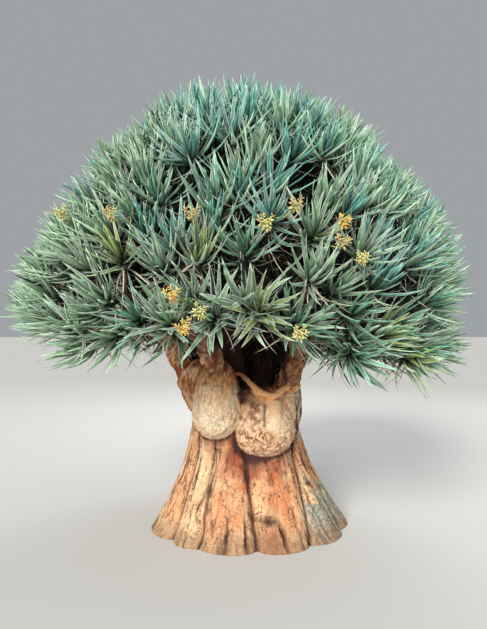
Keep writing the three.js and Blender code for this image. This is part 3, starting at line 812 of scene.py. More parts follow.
def dress_trunk(piece, collar_path):
    """Moves every vertex by the bark's relief, and writes the share of each colour."""
    places, normals = vertex_array(piece.data, "co"), vertex_array(piece.data, "normal")
    height = places[:, 2]
    aside = places[:, 0] - lean(height)
    azimuth = np.degrees(np.arctan2(places[:, 1] / TRUNK_DEPTH, aside))
    radial = np.hypot(aside, places[:, 1] / TRUNK_DEPTH)
    up = np.minimum(1, height / NECK_HEIGHT)
    left_reach = swelling_reach(places, SWELLINGS["left_burl"])
    right_reach = swelling_reach(places, SWELLINGS["right_burl"])
    left = 1 - smooth(1.0, 1.08, left_reach)
    right = (1 - smooth(1.0, 1.08, right_reach)) * (1 - left)
    burls = np.maximum(left, right)
    rib = (1 - smooth(1.0, 1.08, swelling_reach(places, SWELLINGS["right_rib"]))) * (1 - burls)
    near_collar = 1 - smooth(0.030, 0.050, distance_to_line(places, collar_path))
    bough = smooth(0.96, 1.08, height) * (1 - burls) * (1 - near_collar) * (1 - rib)
    trunk = (1 - burls) * (1 - bough) * (1 - near_collar)
    centre = bell(turn_between(-84, azimuth), 33) * trunk

    # The bark's furrows run up the trunk and draw together as it narrows.
    divisor = np.maximum(radial, 0.05)
    flow = np.stack([aside / divisor, places[:, 1] / divisor, height], axis=1)
    wave = np.abs(noise_at(flow * (10, 10, 2.2)) + 0.35 * noise_at(flow * (24, 24, 7) + 5))
    broken = smooth(-0.40, 0.0, noise_at(flow * (4, 4, 3) + 31))
    fissure = (1 - smooth(0.02, 0.15, wave)) * broken
    valley = (1 - smooth(0.0, 0.36, wave)) * broken
    wave = np.abs(noise_at(flow * (18, 18, 5) + 57) + 0.3 * noise_at(flow * (36, 36, 12) + 3))
    nick = (1 - smooth(0.0, 0.14, wave)) * smooth(-0.2, 0.2, noise_at(flow * (5, 5, 5) + 71))
    flakes = noise_at(places * (7, 7, 4) + 13, 2) * 4
    flake = smooth(0.0, 0.3, flakes - np.floor(flakes))
    lump = noise_at(places * 4, 3)
    peel = noise_at(places * (8, 8, 5) + 47, 3) * 5
    peel = (1 - smooth(0.0, 0.16, peel - np.floor(peel))) * centre
    patch = noise_at(places * 9 + 23, 2)
    ragged = noise_at(places * 26 + 11, 2)

    # The burls are granular below and wrinkled above, with one smooth plate on the right one.
    warp = np.stack([noise_at(places * 30 + shift) for shift in (3, 17, 41)], axis=1) * 0.006
    gap, own = cells_at((places + warp) * (40, 40, 30))
    grainy = burls * smooth(1.06, 0.84, height + 0.10 * lump)
    wrinkle, _ = cells_at((places + 2 * warp) * (26, 26, 7))
    wrinkled = burls * (1 - grainy)
    plate = right * bell(places[:, 0] - 0.172, 0.055) * smooth(0.74, 0.80, height)
    grainy, wrinkled = grainy * (1 - 0.9 * plate), wrinkled * (1 - 0.9 * plate)
    rough = (trunk * (1 - 0.8 * centre) + 0.8 * rib + 0.4 * wrinkled) * (1 - plate)

    relief = 0.004 * lump - 0.012 * valley * rough - 0.005 * nick * (0.5 * trunk + 0.5 * rough)
    relief += 0.003 * ragged * trunk
    strip = tatters(places)
    tatter = strip * bough
    relief += 0.014 * tatter - 0.006 * valley * bough + 0.006 * ragged * (burls * (1 - plate) + near_collar)
    relief += flake * (0.003 * trunk + 0.006 * bough) - 0.006 * (gap * grainy + wrinkle * wrinkled)
    furrow = np.zeros(len(places))
    for at, low, high, depth in BURL_FURROWS:
        off = places[:, 0] - at + 0.008 * ragged
        share = right * bell(off, 0.009) * smooth(low - 0.03, low + 0.03, height)
        share = share * smooth(high, high - 0.04, height)
        relief -= depth * share
        furrow = np.maximum(furrow, 50 * depth * share)
    for at, level, half_width, half_height, depth in SLITS:
        off = np.radians(turn_between(at, azimuth)) * radial + (0.010 + 0.2 * half_width) * ragged
        share = bell(off, half_width) * bell(height - level + 0.016 * ragged, half_height) * trunk
        relief -= 0.8 * depth * share
        furrow = np.maximum(furrow, share)
    pits = right * bell(places[:, 0] - 0.045, 0.100) * bell(height - 0.735, 0.060)
    pits = pits * smooth(0.0, 0.25, noise_at(places * (58, 58, 44) + 7))
    relief -= 0.010 * pits
    # Painted shade in the clefts, darker in the deeper ones, on red bark.
    cleft_red_and_shade = np.zeros(len(places))
    for foot, drift, depth, _ in CLEFTS:
        off = np.abs(turn_between(foot + drift * up, azimuth) * np.radians(radial) + 0.012 * patch * (1 - up))
        cleft_red_and_shade = np.maximum(cleft_red_and_shade, bell(off, 0.010 + 0.07 * depth) * min(1, (depth / 0.06) ** 2))
    moved = places + normals * (relief * smooth(0.0, 0.03, height))[:, None]
    moved[:, 2] = np.maximum(moved[:, 2], 0)
    piece.data.vertices.foreach_set("co", moved.astype(np.float32).ravel())

    below = np.minimum(left_reach, right_reach)
    front = bell(turn_between(-86, azimuth), 48) * trunk * smooth(0.86, 0.70, height)
    # Painted shade right under the burls, on the front of the trunk.
    under = (1 - smooth(1.10, 1.55 + 0.5 * patch, below)) * front
    # Red bark below the burls, fading with distance from them; its share of crack is painted shade.
    red_bark_and_shade = (1 - smooth(1.2, 2.5 + 1.2 * patch, below)) * front
    recess = bell(turn_between(-78, azimuth), 8 + 3 * ragged)
    recess = recess * smooth(0.21, 0.12, height + 0.05 * ragged) * centre
    # Painted shade in the hollow between the boughs.
    crotch_shade = crotch_shade_share(places) * bough
    dark = 0.9 * fissure * rough + 0.45 * nick * rough + furrow + 0.9 * cleft_red_and_shade * trunk + 0.85 * pits
    flank = bell(turn_between(-128, azimuth), 20) * trunk
    lichen = smooth(-53, -45, azimuth + 5 * ragged) * (1 - smooth(15, 45, azimuth)) * trunk
    lichen = lichen * (1 - smooth(0.22, 0.40, height + 0.16 * patch + 0.06 * ragged))
    # A painted contact shadow, dark red, along the line where the burls meet the trunk.
    contact_shadow = smooth(1.04, 1.07, below) * (1 - smooth(1.09, 1.17, below)) * trunk
    contact_shadow = contact_shadow * smooth(0.86, 0.76, height + 0.05 * patch) * smooth(-0.5, 0.1, ragged)
    # Painted shade in the pocket between the burls, below the collar.
    pocket_shade = bell(places[:, 0] + 0.045, 0.105) * smooth(0.92, 0.99, height) * smooth(-0.1, -0.2, places[:, 1])
    pocket_shade = pocket_shade * (1 - near_collar) * (1 - left)
    aged = left * smooth(1.0, 1.16, height + 0.08 * patch)
    warm = 0.02 * left + (0.30 - 0.05 * plate) * right + 0.24 * burls * smooth(-0.2, 0.4, patch)
    warm = (warm + 0.25 * left * smooth(0.85, 1.05, height)) * (1 - aged)
    collar_end = near_collar * (1 - smooth(-0.08, 0.05, places[:, 0]))
    # Painted shade on the upper left corner of the right burl.
    corner_shade = right * (1 - smooth(0.05, 0.11, places[:, 0])) * smooth(0.79, 0.86, height)
    shaded = bough * smooth(-0.36, -0.26, places[:, 0]) * smooth(1.08, 1.17, height)
    foot = 1 - smooth(0.02, 0.17, height + 0.05 * patch + 0.02 * ragged)
    ember, gold = old_bark(strip, patch, bough)
    shares = {
        "crack": dark * (1 - 0.5 * lichen)
        + 0.85 * under
        + 0.22 * red_bark_and_shade
        + 0.9 * crotch_shade
        + 0.5 * valley * bough
        + 0.85 * pocket_shade
        + 0.6 * contact_shadow
        + 0.10 * (1 - strip) * bough
        + 0.45 * shaded
        + 0.15 * rib
        + 0.35 * collar_end,
        "rough": rough + 0.6 * bough,
        "gap": (0.4 + 0.4 * right) * own * gap * grainy
        + (0.2 + 0.2 * right) * own * grainy
        + 0.5 * recess
        + 0.45 * peel
        + 0.55 * corner_shade * smooth(-0.9, 0.4, ragged)
        + 0.4 * foot * smooth(0.0, 0.4, ragged),
        "grain": grainy,
        "wrinkle": wrinkled,
        "plates": trunk + bough + 0.3 * near_collar,
        "burl": 0.95 * burls * (1 - 0.7 * aged),
        "cream": near_collar
        + 0.8 * tatter
        + 0.75 * flank
        + 0.4 * rib
        + 0.25 * centre * smooth(0.0, 0.3, lump),
        "salmon": 0.95 * centre * smooth(0.03, 0.15, height)
        + 0.2 * trunk
        + 0.5 * right * smooth(0.1, 0.5, patch),
        "ember": 0.95 * red_bark_and_shade
        + 0.5 * cleft_red_and_shade * trunk
        + 0.4 * recess
        + ember
        + 0.6 * collar_end
        + 0.9 * contact_shadow
        + pits
        + 0.5 * left * smooth(1.05, 1.18, height) * smooth(-0.1, 0.3, ragged),
        "gold": 0.65 * near_collar + gold + 0.8 * aged + warm,
        "lichen": lichen + 0.5 * rib,
        "soil": 0.75 * foot,
    }
    write_shares(piece.data, shares)
    piece.data.update()


def dress_boughs(piece):
    """The boughs are orange and flaking near the trunk, and smoother and darker further out, where the
    darkening is painted shade under the crown.
    """
    places, normals = vertex_array(piece.data, "co"), vertex_array(piece.data, "normal")
    low = 1 - smooth(1.25, 1.55, places[:, 2])
    flakes = noise_at(places * (8, 8, 5) + 13, 2) * 4
    flake = smooth(0.0, 0.3, flakes - np.floor(flakes))
    ring = 1 - smooth(0.0, 0.12, np.abs(noise_at(places * (12, 12, 6) + 57)))
    strip = tatters(places)
    moved = places + normals * (0.004 * flake - 0.003 * ring + 0.012 * strip * low)[:, None]
    piece.data.vertices.foreach_set("co", moved.astype(np.float32).ravel())
    ember, gold = old_bark(strip, noise_at(places * 9 + 23, 2), low)
    shares = {
        # Painted shade: the boughs darken further out under the crown, and near the trunk on all but the left
        # bough.
        "crack": 0.5 * ring + 0.9 * crotch_shade_share(places) + 0.6 * (1 - low) + 0.10 * (1 - strip) * low
        + 0.45 * smooth(-0.36, -0.26, places[:, 0]) * low,
        "plates": np.ones(len(places)),
        "rough": np.full(len(places), 0.8),
        "gap": 0.5 * (1 - low),
        "cream": 0.8 * strip * low,
        "gold": gold,
        "ember": ember,
    }
    write_shares(piece.data, shares)
    piece.data.update()


def make_wood(boughs, branches):
    collar_path = catmull(COLLAR_LINE, COLLAR_STEPS)
    shell = Shell()
    add_trunk(shell)
    for form in SWELLINGS.values():
        add_swelling(shell, form)
    shell.tube(collar_path, collar_radii(), 16)
    foot_steps = int(MAIN_STEPS * FOOT_SHARE)
    for path, radii in boughs.values():
        shell.tube(path[: foot_steps + 1], radii[: foot_steps + 1], 24)
    trunk = remeshed(shell, "trunk_bark", WOOD_VOXEL)
    flat_foot(trunk)
    dress_trunk(trunk, collar_path)

    # A main bough starts a little thinner inside its own foot.
    limbs = Shell()
    start = foot_steps - BOUGH_OVERLAP
    for path, radii in boughs.values():
        inside = np.arange(len(path) - start) <= BOUGH_OVERLAP
        limbs.tube(path[start:], radii[start:] - BOUGH_INSET * inside, 20)
    for path, radii in branches.values():
        limbs.tube(path, radii, 16)
    limbs = limbs.piece("bough_bark", [])
    dress_boughs(limbs)
    bark = bark_material()
    for piece in (trunk, limbs):
        piece.data.polygons.foreach_set("use_smooth", np.ones(len(piece.data.polygons), bool))
        piece.data.materials.append(bark)
    return trunk, limbs


# The foliage

# Layers of heads from the outside in: how many on a whole sphere, of which those above the crown's
# lower edge are kept, their share of the crown's reach, its spread, the leaves on each head, and how
# far it keeps above that edge
HEAD_LAYERS = [
    (480, 0.835, 0.055, 24, 0.11),
    (320, 0.700, 0.050, 17, 0.14),
    (220, 0.560, 0.060, 13, 0.26),
]
HEAD_RISE = 0.55
# Heads of the second layer that close chinks low in the crown: azimuth and elevation from its centre
FILLING_HEADS = [
    (-76, -4),
    (-60, -9),
    (-43, -2),
    (-34, -12),
    (0, -5),
    (12, -8),
    (42, -14),
    (70, -10),
    (90, -14),
    (124, -12),
    (147, -8),
    (172, -4),
    (-172, -4),
]
FILLING_SHARE = 0.79
FILLING_SEED = 41
GOLDEN_TURN = 137.508
LEAF_LENGTH = 0.35
LEAF_WIDTH = 0.034
LEAF_LEAST = 0.45

# A blade has a width at each of its stations and a section given as points across and above its
# middle. Each strip between two of these points is its upper side, its margin or its underside.
UPPER, MARGIN, UNDER = range(3)
Blade = namedtuple("Blade", "stations widths across above strips")
FULL_BLADE = Blade(
    stations=np.array([0.0, 0.14, 0.36, 0.60, 0.82]),
    widths=np.array([0.72, 1.0, 0.92, 0.70, 0.40]),
    across=np.array([-1.0, -0.70, 0.0, 0.70, 1.0, 0.0]),
    above=np.array([0.34, 0.22, -0.06, 0.22, 0.34, -0.34]),
    strips=np.array([MARGIN, UPPER, UPPER, MARGIN, UNDER, UNDER]),
)
PLAIN_BLADE = Blade(
    stations=FULL_BLADE.stations,
    widths=FULL_BLADE.widths,
    across=np.array([-1.0, 0.0, 1.0, 0.0]),
    above=np.array([0.30, -0.06, 0.30, -0.34]),
    strips=np.array([UPPER, UPPER, UNDER, UNDER]),
)
DRY_BLADE = Blade(
    stations=np.array([0.0, 0.22, 0.44, 0.64, 0.82]),
    widths=np.array([0.8, 1.0, 0.9, 0.7, 0.45]),
    across=np.array([-1.0, 1.0, 0.0]),
    above=np.array([0.3, 0.3, -0.3]),
    strips=np.array([UPPER, UPPER, UPPER]),
)


def fibonacci(count, draw):
    """Directions spread evenly over a sphere, each moved a little."""
    i = np.arange(count) + 0.5
    z = 1 - 2 * i / count
    round_ = i * math.pi * (3 - math.sqrt(5))
    flat = np.sqrt(1 - z**2)
    even = np.stack([flat * np.cos(round_), flat * np.sin(round_), z], axis=1)
    return unit(even + draw.normal(0, 0.30 / math.sqrt(count), (count, 3)) * 3.0)


def make_heads(masses, draw):
    """Every head with its place, its axis, the number of its mass and its layer."""
    places, layers = [], []
    for layer, (count, share, spread, _, clearance) in enumerate(HEAD_LAYERS):
        ways = fibonacci(count, draw)
        far = leaf_reach(ways) * share * (1 + spread * draw.uniform(-1, 1, count))
        spots = CROWN_CENTRE + ways * far[:, None]
        spots = spots[spots[:, 2] > crown_floor(spots) + clearance]
        places.append(spots)
        layers.append(np.full(len(spots), layer))
    return heads_at(np.concatenate(places), np.concatenate(layers), masses, draw)


def filling_heads(masses, draw):
    azimuth, elevation = np.transpose(FILLING_HEADS)
    places = on_crown(bearing(azimuth, elevation), FILLING_SHARE)
    return heads_at(places, np.ones(len(places), int), masses, draw)


def heads_at(places, layers, masses, draw):
    """The heads at places, each with its axis, the number of its mass and its layer."""
    out = unit(places - GROWTH_CENTRE)
    radial = unit(places - CROWN_CENTRE + UP * 0.25)
    rise = HEAD_RISE * smooth(-0.28, 0.22, unit(places - CROWN_CENTRE)[:, 2])
    return {
        "place": places,
        "axis": unit(radial + UP * rise[:, None] + draw.normal(0, 0.13, places.shape)),
        "owner": np.argmax(out @ np.array([mass["axis"] for mass in masses]).T, axis=1),
        "layer": layers,
    }


def leaf_blades(blade, root, start, side, length, width, bend):
    """Vertices of many leaves: a ring at each station, and one vertex at the tip."""
    t = np.append(blade.stations, 1.0)[None, :, None]
    line = root[:, None, :] + length[:, None, None] * (start[:, None, :] * t + bend[:, None, :] * t**2)
    tangent = unit(np.gradient(line, axis=1))
    above = unit(np.cross(side[:, None, :], tangent))
    half = (width[:, None] * blade.widths / 2)[:, :, None, None]
    across = blade.across[None, None, :, None] * side[:, None, None, :]
    up = blade.above[None, None, :, None] * above[:, :-1, None, :]
    rings = line[:, :-1, None, :] + half * (across + up)
    return np.concatenate([rings.reshape(len(root), -1, 3), line[:, -1:, :]], axis=1)


def add_leaves(shell, blade, vertices, slots, tones):
    """Adds leaves. slots holds three materials for each: upper side, margin and underside."""
    sides, rings = len(blade.across), len(blade.stations)
    here = np.arange(sides)
    following = (here + 1) % sides
    quads = ring_quads(sides, rings)
    end = sides * (rings - 1)
    tips = np.stack([here + end, following + end, np.full(sides, end + sides)], axis=1)
    butt = np.stack([np.full(sides - 2, sides - 1), here[1:-1], here[:-2]], axis=1)
    count, size = vertices.shape[:2]
    offset = (np.arange(count) * size)[:, None, None]
    quad_kinds = np.tile(blade.strips, rings - 1)
    triangle_kinds = np.concatenate([blade.strips, np.full(sides - 2, UNDER)])
    # The tone darkens towards each leaf's root: painted shade where leaves hide one another in the crown.
    along = np.append(np.repeat(blade.stations, sides), 1.0)
    shell.add(
        vertices,
        quads[None] + offset,
        np.concatenate([tips, butt])[None] + offset,
        slots[:, quad_kinds].ravel(),
        slots[:, triangle_kinds].ravel(),
        ((0.4 + 0.6 * tones[:, None]) * smooth(-0.05, 0.72, along)).ravel(),
    )


def make_leaves(heads, draw):
    """All green leaves: what shapes each, and its head and its age, from 0 to 1."""
    places, axis = heads["place"], heads["axis"]
    counts = np.array([row[3] for row in HEAD_LAYERS])[heads["layer"]]
    head = np.repeat(np.arange(len(places)), counts)
    order = np.concatenate([np.arange(count) for count in counts])
    total = len(order)
    age = order / (counts[head] - 1)
    level, rise = square_to(axis)
    around = draw.uniform(0, 360, len(places))[head] + GOLDEN_TURN * order + draw.normal(0, 9, total)
    around = np.radians(around)[:, None]
    out = level[head] * np.cos(around) + rise[head] * np.sin(around)
    spread = draw.uniform(62, 100, len(places))[head]
    tilt = np.radians(4 + spread * age**0.8 + draw.normal(0, 6, total))[:, None]
    start = axis[head] * np.cos(tilt) + out * np.sin(tilt)
    side = unit(np.cross(out, axis[head]))
    scale = draw.uniform(0.86, 1.06, len(places))[head]
    length = LEAF_LENGTH * scale * (0.55 + 0.5 * np.sin(math.pi * (0.08 + 0.62 * age)))
    length *= 1 + draw.normal(0, 0.07, total)
    width = LEAF_WIDTH * scale * (0.80 + 0.25 * np.sin(math.pi * (0.1 + 0.75 * age)))
    root = places[head] - axis[head] * (0.06 * age)[:, None] + out * 0.010
    curl = 0.2 + 1.5 * age * (0.4 + 0.6 * draw.random(total))
    length /= 1 + 0.22 * curl
    bend = 0.5 * curl[:, None] * np.cross(side, start) + draw.normal(0, 0.16, total)[:, None] * side
    bend[:, 2] -= (0.02 + 0.12 * age * draw.random(total)) * np.hypot(start[:, 0], start[:, 1])

    # A leaf is cut shorter where it would leave the crown, and left out where little of it remains.
    tip = root + length[:, None] * (start + bend)
    away = tip - CROWN_CENTRE
    limit = leaf_reach(unit(away)) * (1 - 0.07 * draw.random(total) ** 2)
    near, far = np.linalg.norm(root - CROWN_CENTRE, axis=1), np.linalg.norm(away, axis=1)
    fit = np.where(far > limit, (limit - near) / np.maximum(far - near, 1e-6), 1)
    floor = crown_floor(tip)
    low = np.where(tip[:, 2] < floor, (root[:, 2] - floor) / np.maximum(root[:, 2] - tip[:, 2], 1e-6), 1)
    length *= np.clip(np.minimum(fit, low), 0, 1)
    kept = length > LEAF_LEAST * LEAF_LENGTH * scale
    shapes = [values[kept] for values in (root, start, side, length, width, bend)]
    return shapes, head[kept], age[kept]


def leaf_slots(heads, head, age, draw):
    """Deals colours to every leaf: mostly by its spray and bluer at the top. Further in, the dark colours are
    painted shade.
    """
    places, layer = heads["place"], heads["layer"]
    high = smooth(1.9, 3.0, places[:, 2] + draw.normal(0, 0.25, len(places)))
    pick = draw.random(len(places))
    low = places[:, 2] < crown_floor(places) + 0.35
    sage = pick > 0.54 + 0.12 * places[:, 0] + 0.10 * high - 0.20 * low
    spray = np.where(pick < 0.15 + 0.65 * high, BLUE, np.where(sage, SAGE, JADE))
    spray = np.where(draw.random(len(places)) < 0.08 * (1 - high), MOSS, spray)
    lit = low & (draw.random(len(places)) < 0.7)
    # The middle and inner layers get painted shade, except some low heads, which are lit.
    spray = np.where((layer == 1) & ~lit, DEEP_SHADE, np.where(layer == 2, np.where(low, DEEP_SHADE, SHADE), spray))
    slots = spray[head]
    own = draw.random(len(head))
    # Painted shade on a tenth of the older outer leaves.
    slots = np.where((own < 0.10) & (age > 0.6) & (layer[head] == 0), DEEP_SHADE, slots)
    slots = np.where((own > 0.94) & (layer[head] == 0), SAGE, slots)
    outer = layer[head] == 0
    pale = outer & (age > 0.5) & (draw.random(len(head)) < 0.9 - 0.5 * high[head])
    return np.stack([slots, np.where(outer, PALE_MARGIN_HIGHLIGHT, slots), np.where(pale, PALE_UNDER, slots)], axis=1)


TWIG_TIP = 0.0115
TWIG_START = BOUGH_TIP - 0.004


def make_twigs(masses, heads):
    """Twigs that fork towards the heads of each mass, until each ends in one."""
    places, axis, owner = heads["place"], heads["axis"], heads["owner"]
    shell = Shell()

    def radius_of(count, total):
        return TWIG_TIP + (TWIG_START - TWIG_TIP) * (count / total) ** 0.55

    def grow(line, radii, chosen, total):
        if len(chosen) == 1:
            head = chosen[0]
            path = [*line, places[head] - axis[head] * 0.085, places[head] + axis[head] * 0.004]
            steps = 4 * (len(path) - 1)
            ends = [*radii, 0.0125, 0.014]
            wide = np.interp(np.linspace(0, 1, steps + 1), np.linspace(0, 1, len(ends)), ends)
            shell.tube(catmull(path, steps), wide, 5)
            return
        spots = places[chosen]
        fork = line[-1] + (spots.mean(axis=0) - line[-1]) * FORK_SHARE
        gaps = np.linalg.norm(spots[:, None] - spots[None], axis=2)
        a, b = np.unravel_index(np.argmax(gaps), gaps.shape)
        order = chosen[np.argsort(spots @ (spots[b] - spots[a]), kind="stable")]
        half = (len(order) + 1) // 2
        radius = radius_of(len(chosen), total)
        grow([*line, fork], [*radii, radius], order[:half], total)
        grow([fork], [radius * 0.8], order[half:], total)

    for number, mass in enumerate(masses):
        chosen = np.flatnonzero(owner == number)
        if len(chosen):
            grow([mass["stem"] - mass["away"] * 0.02], [TWIG_START], chosen, len(chosen))
    return shell


SKIRT_LEAVES = 2600
SKIRT_SPAN = (1.10, 1.65)
SKIRT_LEAST = 1.0
SKIRT_SIDES = (-0.50, 0.43)


def make_dry_leaves(heads, limbs, draw):
    """Old leaves, dry and curled, and which of them are dark husks, dark partly as painted shade. Some hang
    under the rosettes, and a dark skirt of them hangs behind the fork from the lower boughs, a sheet of
    painted shade in the hollow there."""
    places, axis, layer = heads["place"], heads["axis"], heads["layer"]
    want = np.where(places[:, 2] < 2.5, 7, 3)
    head = np.repeat(np.arange(len(places)), want)
    level, rise = square_to(axis)
    around = draw.uniform(0, TURN, len(head))[:, None]
    out = level[head] * np.cos(around) + rise[head] * np.sin(around)
    start = unit(out - axis[head] * draw.uniform(-0.2, 0.8, len(head))[:, None] - UP * 0.25)
    root = places[head] - axis[head] * draw.uniform(0.03, 0.13, len(head))[:, None] + out * 0.008

    marks = np.concatenate([path for path, _ in limbs])
    marks = marks[(marks[:, 2] > SKIRT_SPAN[0]) & (marks[:, 2] < SKIRT_SPAN[1])]
    marks = marks[(marks[:, 1] > 0.05) & (marks[:, 0] > SKIRT_SIDES[0]) & (marks[:, 0] < SKIRT_SIDES[1])]
    marks = marks[draw.integers(0, len(marks), SKIRT_LEAVES)]
    fan = bearing(draw.uniform(0, 360, SKIRT_LEAVES), draw.uniform(-85, -15, SKIRT_LEAVES))
    root = np.concatenate([root, marks + fan * 0.03])
    start = np.concatenate([start, fan])
    skirt = np.arange(len(root)) >= len(head)
    # Husks are dead leaves whose dark colour is partly painted shade.
    husk_shade = skirt | (np.append(layer[head], np.zeros(SKIRT_LEAVES)) > 1)

    total = len(root)
    side = unit(np.cross(start, unit(draw.normal(0, 1, (total, 3)))))
    bend = draw.uniform(0.3, 1.5, total)[:, None] * np.cross(side, start)
    bend += draw.normal(0, 0.5, total)[:, None] * side
    bend[:, 2] -= draw.uniform(-0.1, 0.5, total)
    length = draw.uniform(0.10, 0.21, total) * np.where(skirt, 1.4, 1)
    width = draw.uniform(0.008, 0.018, total) * np.where(skirt, 2.0, 1)
    vertices = leaf_blades(DRY_BLADE, root, start, side, length, width, bend)
    away = vertices[:, -1] - CROWN_CENTRE
    inside = np.linalg.norm(away, axis=1) < crown_reach(unit(away)) * 0.97
    lowest = vertices[:, :, 2].min(axis=1)
    x = vertices[:, :, 0]
    right_side = SKIRT_SIDES[1] - 0.6 * np.maximum(0, 1.20 - lowest)
    hidden = ~skirt | ((x.min(axis=1) > SKIRT_SIDES[0]) & (x.max(axis=1) < right_side))
    edge = crown_floor(root) - np.where(husk_shade, -0.03, 0.06)
    kept = inside & hidden & (lowest > np.where(skirt, SKIRT_LEAST, edge))
    return vertices[kept], husk_shade[kept].astype(int)


# Racemes of blossom: azimuth and elevation from the crown's centre, and their kind
RACEMES = [
    (226, 20, "young"),
    (243, 18, "spent"),
    (258, 2, "ripe"),
    (260, -4, "ripe"),
    (261, 17, "spent"),
    (263, -1, "young"),
    (275, 15, "young"),
    (281, 19, "spent"),
    (281, -5, "young"),
    (291, 16, "ripe"),
    (290, 12, "spent"),
    (294, 9, "young"),
    (8, 24, "ripe"),
    (35, 14, "young"),
    (62, 30, "ripe"),
    (96, 56, "young"),
    (104, 14, "young"),
    (150, 26, "spent"),
    (178, 10, "young"),
]
RACEME_SHARE = 0.95
RACEME_ARMS = 4
RACEME_ARM = 0.060
RACEME_TUBES = 15
BLOSSOM_COLOURS = {
    "blossom_young": linear(222, 218, 140),
    "blossom_ripe": linear(240, 194, 104),
    "blossom_spent": linear(184, 162, 112),
    "bud": linear(214, 142, 74),
}
# For each kind of raceme, the colour of most of its tubes and of the rest
BLOSSOM_SLOTS = {"young": (0, 2), "ripe": (1, 3), "spent": (2, 0)}
BLOSSOM_MIX = 0.3


def make_blossom(heads, draw):
    """Short racemes, each a stalk with arms that small tubes of blossom hang on all round."""
    outer = heads["place"][heads["layer"] == 0]
    stalk_slot = len(BLOSSOM_COLOURS)
    shell = Shell()
    for azimuth, elevation, kind in RACEMES:
        out = bearing(azimuth, elevation)
        centre = on_crown(out, RACEME_SHARE)
        foot = outer[np.argmin(np.linalg.norm(outer - centre, axis=1))]
        upright = unit(out + UP * 1.2)
        fork = centre - upright * RACEME_ARM * 0.8
        bow = foot + (fork - foot) * 0.5 - out * 0.03
        shell.tube(catmull([foot, bow, fork], 8), np.linspace(0.006, 0.004, 9), 6, stalk_slot)
        level, rise = square_to(upright)
        for arm in range(RACEME_ARMS):
            round_ = TURN * (arm + 0.5 * draw.random()) / RACEME_ARMS
            way = unit(upright + 0.5 * (level * math.cos(round_) + rise * math.sin(round_)))
            start, end = fork, fork + way * RACEME_ARM * draw.uniform(1.1, 1.5)
            middle = (start + end) / 2 + UP * 0.004
            shell.tube(catmull([start, middle, end], 4), np.linspace(0.004, 0.002, 5), 5, stalk_slot)
            around, over = square_to(way)
            for step in range(RACEME_TUBES):
                t = 0.2 + 0.8 * step / (RACEME_TUBES - 1)
                turn = math.radians(GOLDEN_TURN * step)
                base = start + (end - start) * t
                aim = unit(around * math.cos(turn) + over * math.sin(turn) + way * (1.6 * t - 0.8))
                size = 0.028 * (1.2 - 0.6 * t) * draw.uniform(0.7, 1.2)
                line = np.array([base, base + aim * size * 0.5, base + aim * size])
                slot = BLOSSOM_SLOTS[kind][draw.random() < BLOSSOM_MIX]
                shell.tube(line, [0.0016, 0.0036, 0.0028], 5, slot)
    return shell


# The pieces of leaves: the row of their masses, and the azimuths they start and end at
LEAF_GROUPS = {
    "rim_leaves_front": ("rim", 200, 360),
    "rim_leaves_back": ("rim", 0, 200),
    "flank_leaves_front": ("flank", 180, 360),
    "flank_leaves_back": ("flank", 0, 180),
    "shoulder_leaves": ("shoulder", 0, 360),
    "top_leaves": ("top", 0, 360),
}


def green_leaves(heads, draw, before=0):
    """What shapes each green leaf, the number of its head, which follows those before, its three
    materials and its tone."""
    shapes, head, age = make_leaves(heads, draw)
    slots = leaf_slots(heads, head, age, draw)
    return [*shapes, before + head, slots, draw.random(len(head))]


def make_crown(masses, limbs, draw):
    heads = make_heads(masses, draw)
    grown = green_leaves(heads, draw)
    # The filling heads have a random source of their own, so that they change no other leaf.
    own_draw = np.random.default_rng(FILLING_SEED)
    fillers = filling_heads(masses, own_draw)
    filling = green_leaves(fillers, own_draw, len(heads["place"]))
    *shapes, head, slots, tones = [np.concatenate(both) for both in zip(grown, filling)]
    every = {key: np.concatenate([heads[key], fillers[key]]) for key in heads}
    greens = [
        leaf_material(name, colour, dark=0.35 if number >= PALE_MARGIN_HIGHLIGHT else 0.12)
        for number, (name, colour) in enumerate(LEAF_COLOURS.items())
    ]
    owner, layer = every["owner"][head], every["layer"][head]
    leaves = {}
    for name, (row, first, last) in LEAF_GROUPS.items():
        members = [
            i for i, mass in enumerate(masses) if mass["row"] == row and first <= mass["azimuth"] < last
        ]
        shell = Shell()
        for blade, outer in ((FULL_BLADE, True), (PLAIN_BLADE, False)):
            chosen = np.isin(owner, members) & ((layer == 0) == outer)
            vertices = leaf_blades(blade, *(values[chosen] for values in shapes))
            add_leaves(shell, blade, vertices, slots[chosen], tones[chosen])
        leaves[name] = (shell.piece(name, greens), [masses[i]["node"] for i in members])
    dead, husk_shade = make_dry_leaves(heads, limbs, draw)
    dry = Shell()
    add_leaves(dry, DRY_BLADE, dead, np.repeat(husk_shade[:, None], 3, axis=1), draw.random(len(dead)))
    dry_colours = [leaf_material(name, colour, 0.8, 0.5) for name, colour in DRY_COLOURS.items()]
    blossom_colours = [leaf_material(name, colour, 0.55, 0.7) for name, colour in BLOSSOM_COLOURS.items()]
    blossom_colours.append(leaf_material("stalk", STALK_COLOUR, 0.6, 0.7))
    extras = [
        dry.piece("dry_leaves", dry_colours),
        make_twigs(masses, every).piece("twigs", [leaf_material("twig", TWIG_COLOUR, 0.85, 0.7)]),
        make_blossom(heads, draw).piece("blossom", blossom_colours),
    ]
    return leaves, extras


# The stage, the light and the camera

CAMERA_DISTANCE = 4.9
CAMERA_HEIGHT = 1.6
CAMERA_ASIDE = -0.046
FOCAL_PIXELS = 636
PICTURE_HEIGHT = 629
SENSOR = 36.0
FLOOR_SIZE = 40
WORLD_STRENGTH = 0.42
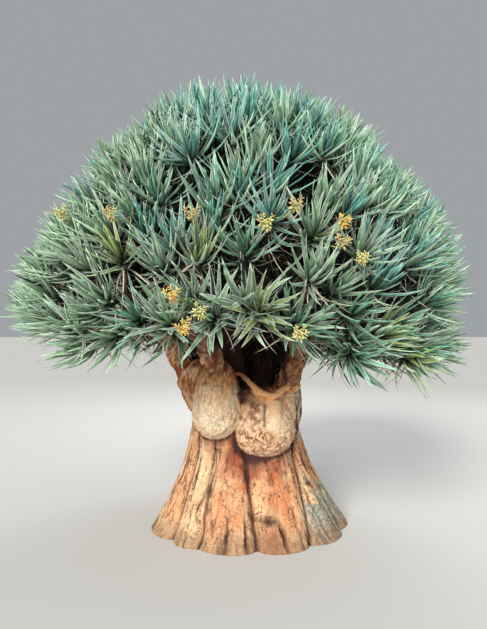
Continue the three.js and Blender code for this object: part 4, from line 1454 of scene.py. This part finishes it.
# Kind, name, place, aim, size, power and colour
LIGHTS = [
    ("SUN", "key", (-2.6, -6.6, 4.7), (0, 0, 1.3), 0.4, 4.1, (1.0, 0.97, 0.92)),
    ("AREA", "fill", (5.5, -3.5, 3.5), (0, 0, 1.4), 4.0, 85, (0.95, 0.98, 1.0)),
    ("AREA", "back", (1.5, 6.5, 6.0), (0, 0, 2.0), 4.0, 250, (1.0, 1.0, 1.0)),
]


def add_light(kind, name, place, aim, size, power, colour):
    """A light that shines from a place to an aim. The size of a sun is its angle."""
    lamp = bpy.data.lights.new(name, kind)
    if kind == "SUN":
        lamp.angle = size
    else:
        lamp.shape = "DISK"
        lamp.size = size
    lamp.energy = power
    lamp.color = colour
    light = bpy.data.objects.new(name, lamp)
    light.location = place
    light.rotation_euler = (Vector(aim) - Vector(place)).to_track_quat("-Z", "Y").to_euler()
    bpy.context.scene.collection.objects.link(light)


def make_stage():
    floor_shell = Shell()
    corners = np.array([[-1, -1, 0], [1, -1, 0], [1, 1, 0], [-1, 1, 0]])
    floor_shell.add(FLOOR_SIZE * corners, [[0, 1, 2, 3]], [])
    shader = Shader("floor", roughness=0.9)
    floor = floor_shell.piece("floor", [shader.finish(linear(214, 213, 210))])
    world = bpy.data.worlds.new("studio")
    world.use_nodes = True
    background = world.node_tree.nodes["Background"]
    background.inputs["Color"].default_value = linear(234, 239, 244)
    background.inputs["Strength"].default_value = WORLD_STRENGTH
    bpy.context.scene.world = world
    for light in LIGHTS:
        add_light(*light)
    lens = bpy.data.cameras.new("camera")
    lens.sensor_width = SENSOR
    lens.lens = FOCAL_PIXELS / PICTURE_HEIGHT * SENSOR
    camera = bpy.data.objects.new("camera", lens)
    camera.location = (CAMERA_ASIDE, -CAMERA_DISTANCE, CAMERA_HEIGHT)
    camera.rotation_euler = (math.pi / 2, 0, 0)
    bpy.context.scene.collection.objects.link(camera)
    bpy.context.scene.camera = camera
    bpy.context.scene.view_settings.view_transform = "Standard"


def main():
    make_stage()
    masses = make_masses()
    boughs, branches = make_boughs(masses)
    trunk, limbs = make_wood(boughs, branches)
    limb_paths = [*boughs.values(), *branches.values()]
    crown, extras = make_crown(masses, limb_paths, np.random.default_rng(7))
    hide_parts("trunk")
    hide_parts(*boughs, *branches)
    for piece, nodes in crown.values():
        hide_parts(*nodes)
    for piece in (trunk, limbs, *extras, *(piece for piece, _ in crown.values())):
        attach(piece, "root")


main()
